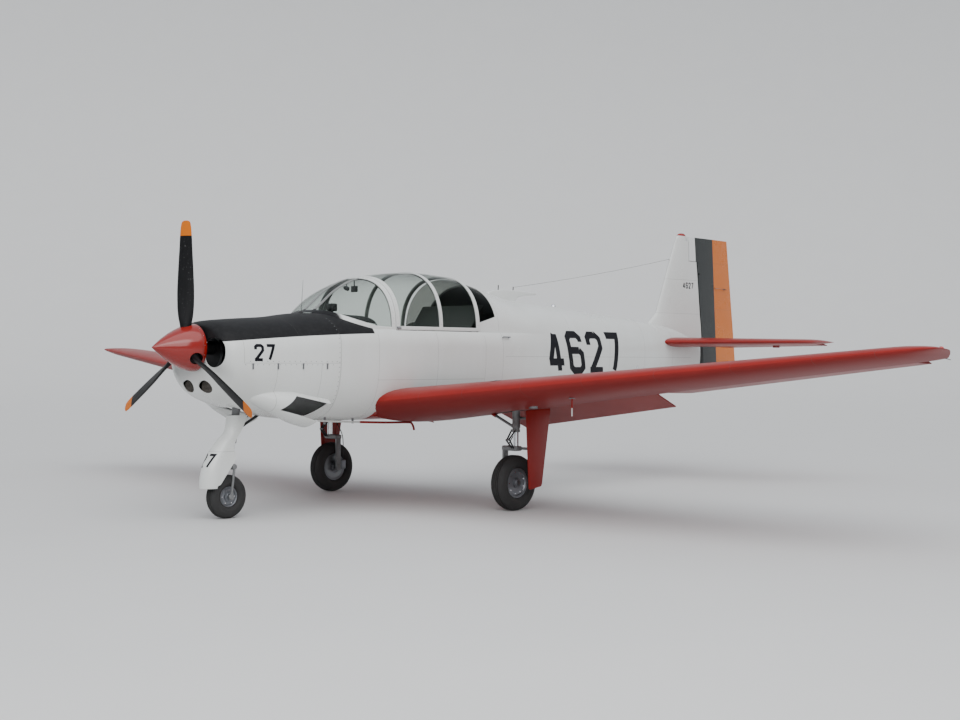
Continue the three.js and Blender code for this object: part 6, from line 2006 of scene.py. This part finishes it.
def fitCowl():
    steel, c, cowlSkin = "steel", cowlSizes, surfaceOf(made["cowl"])
    latches = []
    for x in (3.634, 3.395, 3.139, 2.89):  # toggle latches along the cowl's split
        for way in (1, -1):
            y = onSurface(cowlSkin, (x, way * 1.2, 1.326), (0, -way, 0))[0].y
            latches.append(block("latch", (x - 0.007, y - way * 0.002, 1.3),
                                 (x + 0.007, y + way * 0.006, 1.35), steel, round=0.003))
            y += way * 0.0035
            latches.append(rod("pin", (x - 0.01, y, 1.345), (x + 0.01, y, 1.345), 0.003, steel, sides=10))
    fitting("cowl_latches", latches)
    wires = []
    for way in (1, -1):  # woven wire behind the chin openings
        depth = onSurface(cowlSkin, (4.3, way * 0.02, c["chinZ"]), (-1, 0, 0))[0].x - 0.03
        centre = Vector((depth, way * c["chinY"], c["chinZ"]))
        for k in range(-4, 5):
            off, reach = k / 5, sqrt(1 - (k / 5) ** 2)
            for shift, half in (((0, off * c["chinWide"], 0), (0, 0, reach * c["chinTall"])),
                                ((0, 0, off * c["chinTall"]), (0, reach * c["chinWide"], 0))):
                wire = centre + Vector(shift)
                wires.append(rod("wire", wire - Vector(half), wire + Vector(half), 0.0018, "mesh", sides=6))
    fitting("chin_mesh", wires, "black_trim", angle=50)


def fitCabin():
    cabinSkin = surfaceOf(made["cabin_shell"])
    mast, out = onSurface(cabinSkin, (2.722, 0, 1.95), (0, 0, -1))  # thin aerial ahead of the windshield
    foot = [(0, -0.004), (0.016, -0.004), (0.018, 0.002), (0.01, 0.01), (0.005, 0.022), (0, 0.022)]
    whip = [lathe("foot", foot, mast, out, "seal", steps=24),
            rod("whip", mast + out * 0.015, mast + Vector((-0.02, 0, 0.3)), 0.0026, "black", sides=10,
                end=0.0012)]
    fitting("whip_aerial", whip, "black_trim")
    parts = []
    for x in (2.69, 2.36, 1.64):  # brackets, tube and hose under the belly
        top = onSurface(cabinSkin, (x, 0.3, 0.2), (0, 0, 1))[0].z + 0.004
        parts.append(block("bracket", (x - 0.01, 0.294, 0.8), (x + 0.01, 0.306, top), "steel", round=0.002))
    tube = bend([(2.767, 0.3, 0.836), (2.55, 0.3, 0.822), (2.26, 0.3, 0.8085)], 1)
    hose = bend([(2.275, 0.3, 0.809), (1.95, 0.3, 0.795), (1.66, 0.3, 0.788), (1.615, 0.3, 0.775),
                 (1.592, 0.3, 0.74), (1.585, 0.3, 0.712)], 6)
    parts += [pipe("tube", tube, 0.0085, "tube", sides=16), pipe("hose", hose, 0.0105, "red", sides=16)]
    fitting("belly_vent_tube", parts)


def fitSpine():  # posts and beacon on the back, a taut wire to the fin
    parts = [rod("post", (x, 0, z - 0.006), (x - 0.004, 0, z + tall), 0.005, "seal", sides=12)
             for x, z, tall in ((0.1, 2.118, 0.05), (-0.13, 2.116, 0.042))]
    dome, out = onSurface(surfaceOf(made["tail_cone"]), (-0.78, 0, 3), (0, 0, -1))
    parts.append(lathe("dome", [(0, -0.006), (0.03, -0.006), (0.03, 0.004), (0.024, 0.02), (0.012, 0.03),
                                (0, 0.033)], dome, out, "chrome", steps=32))
    fitting("dorsal_fittings", parts, "black_trim")
    a, b = Vector((-0.13, 0, 2.152)), Vector((-2.905, 0.004, 2.6))
    sag = [a.lerp(b, t) - Vector((0, 0, 0.08 * t * (1 - t))) for t in span(0, 1, 9)]
    knob = onSurface(surfaceOf(made["fin"]), (-2.0, 0, 2.6), (-1, 0, 0))[0]
    shape = [(0, -0.004), (0.007, -0.004), (0.009, 0.008), (0.006, 0.02), (0.008, 0.026), (0, 0.032)]
    fitting("aerial_wire", [pipe("wire", sag, 0.0016, "black", sides=6),
                            lathe("insulator", shape, knob, (1, 0, -0.16), "white", steps=20)], "black_trim")


def fitSides():  # grab handles and static ports behind the cockpit
    steel, coneSkin, parts = "steel", surfaceOf(made["tail_cone"]), []
    port = [(0, -0.002), (0.022, -0.002), (0.022, 0.0008), (0.004, 0.0012), (0.003, -0.001), (0, -0.001)]
    for way in (1, -1):
        for x in (0.636, 0.545):
            p, out = onSurface(coneSkin, (x, way * 1.2, 1.604), (0, -way, 0))
            parts.append(rod("post", p - out * 0.003, p + out * 0.022, 0.005, steel, sides=12))
        p, out = onSurface(coneSkin, (0.59, way * 1.2, 1.604), (0, -way, 0))
        grip, reach = p + out * 0.022, Vector((0.052, 0, 0))
        parts.append(rod("grip", grip + reach, grip - reach, 0.006, steel, sides=12))
        p, out = onSurface(coneSkin, (-1.9, way * 1.2, 1.3), (0, -way, 0))
        parts.append(lathe("port", port, p, out, "chrome", steps=32))
    fitting("side_fittings", parts)


def fitWing(way, sideName):
    steel, wingSkin, parts = "steel", surfaceOf(made["wing_" + sideName]), []
    if way > 0:  # mast under the left wing
        p = onSurface(wingSkin, (1.684, 2.353, 0.4), (0, 0, 1))[0]
        parts = [block("base", (p.x - 0.03, p.y - 0.012, p.z - 0.006),
                       (p.x + 0.03, p.y + 0.012, p.z + 0.004), steel, round=0.003),
                 rod("mast", p, p - Vector((0, 0, 0.085)), 0.008, "red"),
                 rod("tip", p - Vector((0, 0, 0.084)), p - Vector((0, 0, 0.155)), 0.0065, "tube")]
    end = onSurface(wingSkin, (1.3, way * 6.2, wingPoint(5.49, 0.3).z),
                    (0, -way, 0))[0] - Vector((0, way * 0.024, 0))
    parts.append(lathe("lens", [(0, -0.01), (0.016, -0.01), (0.016, 0.002), (0.012, 0.012), (0.005, 0.0165),
                                (0, 0.0175)], end, (0.25, way, 0.1), "lensRed" if way > 0 else "lensGreen",
                       steps=28))
    stick = wingPoint(5.18, 0.995)
    stick.y *= way
    wick = [stick + Vector(off) for off in ((0.05, 0, 0.004), (-0.03, 0, 0.0), (-0.115, 0, -0.01))]
    parts.append(pipe("wick", wick, [0.004, 0.004, 0.002], "black", sides=8))
    cap, out = onSurface(wingSkin, (1.85, way * 1.62, 2.5), (0, 0, -1))
    parts.append(lathe("fillerCap", [(0, -0.003), (0.045, -0.003), (0.047, 0.0015), (0.04, 0.003),
                                     (0.014, 0.003), (0.012, 0.006), (0, 0.006)], cap, out, steel, steps=40))
    fitting(f"wing_{sideName}_fittings", parts)


def fitTail():  # hinge fairings under the tailplane and the rudder's trim link
    steel, hinges = "steel", []
    for way, sideName in bothSides:
        p = onSurface(surfaceOf(made["tailplane_" + sideName]), (-3.3, way * 1.25, 1.0), (0, 0, 1))[0]
        hinges.append(block("hinge", (-3.345, p.y - 0.01, p.z - 0.03), (-3.22, p.y + 0.01, p.z + 0.004),
                            "redPlain", round=0.007, steps=3))
    fitting("tail_hinges", hinges, "red_paint")
    rudderSkin = surfaceOf(made["rudder"])
    aft, fore = (onSurface(rudderSkin, (x, 0.8, z), (0, -1, 0))[0].y
                 for x, z in ((-4.02, 2.286), (-3.8, 2.279)))
    link = [block("horn", (-4.035, aft - 0.003, 2.27), (-4.005, aft + 0.035, 2.276), "black", round=0.001),
            rod("rod", (-4.02, aft + 0.028, 2.279), (-3.8, aft + 0.03, 2.279), 0.0026, steel, sides=8),
            rod("post", (-3.8, fore - 0.003, 2.279), (-3.8, aft + 0.034, 2.279), 0.004, steel, sides=8)]
    fitting("rudder_trim_link", link, body="rudder")


def fitCanopy():
    steel, dark, handles = "steel", "seal", []
    for way in (1, -1):  # handles on the front bow
        y = way * (canopy["half"] + 0.0068)
        out = y + way * 0.007
        handles += [block("plate", (1.985, y - way * 0.001, 1.668), (2.04, y + way * 0.003, 1.69), steel,
                          round=0.001),
                    rod("grip", (1.992, out, 1.679), (2.033, out, 1.679), 0.004, "chrome", sides=12)]
        handles += [rod("post", (x, y, 1.679), (x, out, 1.679), 0.003, steel, sides=8)
                    for x in (1.996, 2.029)]
    fitting("canopy_handles", handles, body="canopy")

    def gasket(front, rear, base):
        return archShell("gasket", front, rear, -0.0125, -0.0083, base, "lining", count=48)
    fitting("canopy_gaskets", [gasket(front, rear, canopy["base"] + 0.02) for rear, front in
                               ((2.004, 2.04), (1.449, 1.483), (0.946, 0.98))], "black_trim", "canopy")
    lamp = [(0, -0.03), (0.014, -0.03), (0.02, -0.02), (0.02, 0.02), (0, 0.022)]
    fitting("windshield_gasket", [gasket(2.096, 2.058, sill + 0.0015),
                                  block("mirror", (2.078, -0.045, 2.02), (2.092, 0.045, 2.08), "dial",
                                        round=0.006),
                                  rod("stalk", (2.085, 0, 2.074), (2.085, 0, 2.1385), 0.006, dark, sides=10),
                                  lathe("lamp", lamp, (2.18, 0, 2.052), (-1, 0, -0.3), dark, steps=24),
                                  rod("stalk", (2.18, 0, 2.06), (2.18, 0, 2.1135), 0.005, dark, sides=10)],
            "black_trim")


finishes["tube"] = grained("ventTube", shade(0.62, 0.62, 0.6), shade(0.5, 0.5, 0.48), 0.3, 300, 0.0001,
                           coat=0.3)
finishes["lensRed"] = grained("lensRed", shade(0.5, 0.01, 0.01), shade(0.4, 0.01, 0.01), 0.12, 200, 0.0002,
                              coat=0.8)
finishes["lensGreen"] = grained("lensGreen", shade(0.01, 0.28, 0.09), shade(0.01, 0.22, 0.07), 0.12, 200,
                                0.0002, coat=0.8)
makeMarkings()
fastenFuselage()
for way, sideName in bothSides:
    fastenWing(way, sideName)
fastenRest()
fitCowl()
fitCabin()
fitSpine()
fitSides()
for way, sideName in bothSides:
    fitWing(way, sideName)
fitTail()
fitCanopy()


# The photograph's camera
camera = bpy.data.objects.new("camera", bpy.data.cameras.new("camera"))
bpy.context.scene.collection.objects.link(camera)
camera.data.sensor_width, camera.data.lens = 36, 36 * 1400.69 / 960
right, up, ahead = (Vector(v) for v in ((-0.69343524, 0.72050472, 0.00453036),
                                        (0.00192775, -0.00443237, 0.99998832),
                                        (-0.72051638, -0.69343587, -0.00168461)))
turn = Matrix((right, up, -ahead)).transposed().to_4x4()
camera.matrix_world = Matrix.Translation((10.79481, 10.03481, 1.40678)) @ turn
bpy.context.scene.camera = camera


stage = {"radius": 60.0, "wall": 34.0, "bend": 24.0, "sun": 1.9, "sunAngle": 75, "sunFrom": (0.35, 0.55, 1.0),
         "fill": 620.0, "sky": 0.86}


def makeStage():
    s, floor = stage, Finish("paleFloor")
    tone = floor.noise(0.9, 5)
    floor.feed(colour=floor.blend(((tone - 0.5) * 0.5 + 0.5).clamp(), shade(0.6, 0.6, 0.595),
                                  shade(0.66, 0.66, 0.655)), rough=(0.72 + (tone - 0.5) * 0.1).clamp())
    profile = [(0, 0), (20, 0), (s["radius"] - s["bend"], 0)]
    profile += [(s["radius"] - s["bend"] + s["bend"] * sin(a), s["bend"] - s["bend"] * cos(a))
                for a in span(0, pi / 2, 13)[1:]]
    profile += [(s["radius"], s["wall"])]
    finishes["floor"] = floor.material
    sheet = lathe("studio_floor", profile, (0, 0, 0), (0, 0, 1), "floor", steps=96)
    sheet.data.shade_smooth()
    world = bpy.data.worlds.new("studio")
    world.use_nodes = True
    world.node_tree.nodes["Background"].inputs[0].default_value = shade(0.86, 0.9, 0.96)
    world.node_tree.nodes["Background"].inputs[1].default_value = s["sky"]
    bpy.context.scene.world = world
    for name, kind, place in (("daylight", "SUN", Vector(s["sunFrom"]) * 20),
                              ("softbox", "AREA", Vector((9, 9, 7)))):
        lamp = bpy.data.objects.new(name, bpy.data.lights.new(name, kind))
        bpy.context.scene.collection.objects.link(lamp)
        lamp.location = place
        lamp.rotation_euler = (place - Vector((0, 0, 1))).to_track_quat("Z", "Y").to_euler()
        if kind == "SUN":
            lamp.data.energy, lamp.data.angle = s["sun"], radians(s["sunAngle"])
        else:
            lamp.data.energy, lamp.data.size = s["fill"], 8


makeStage()
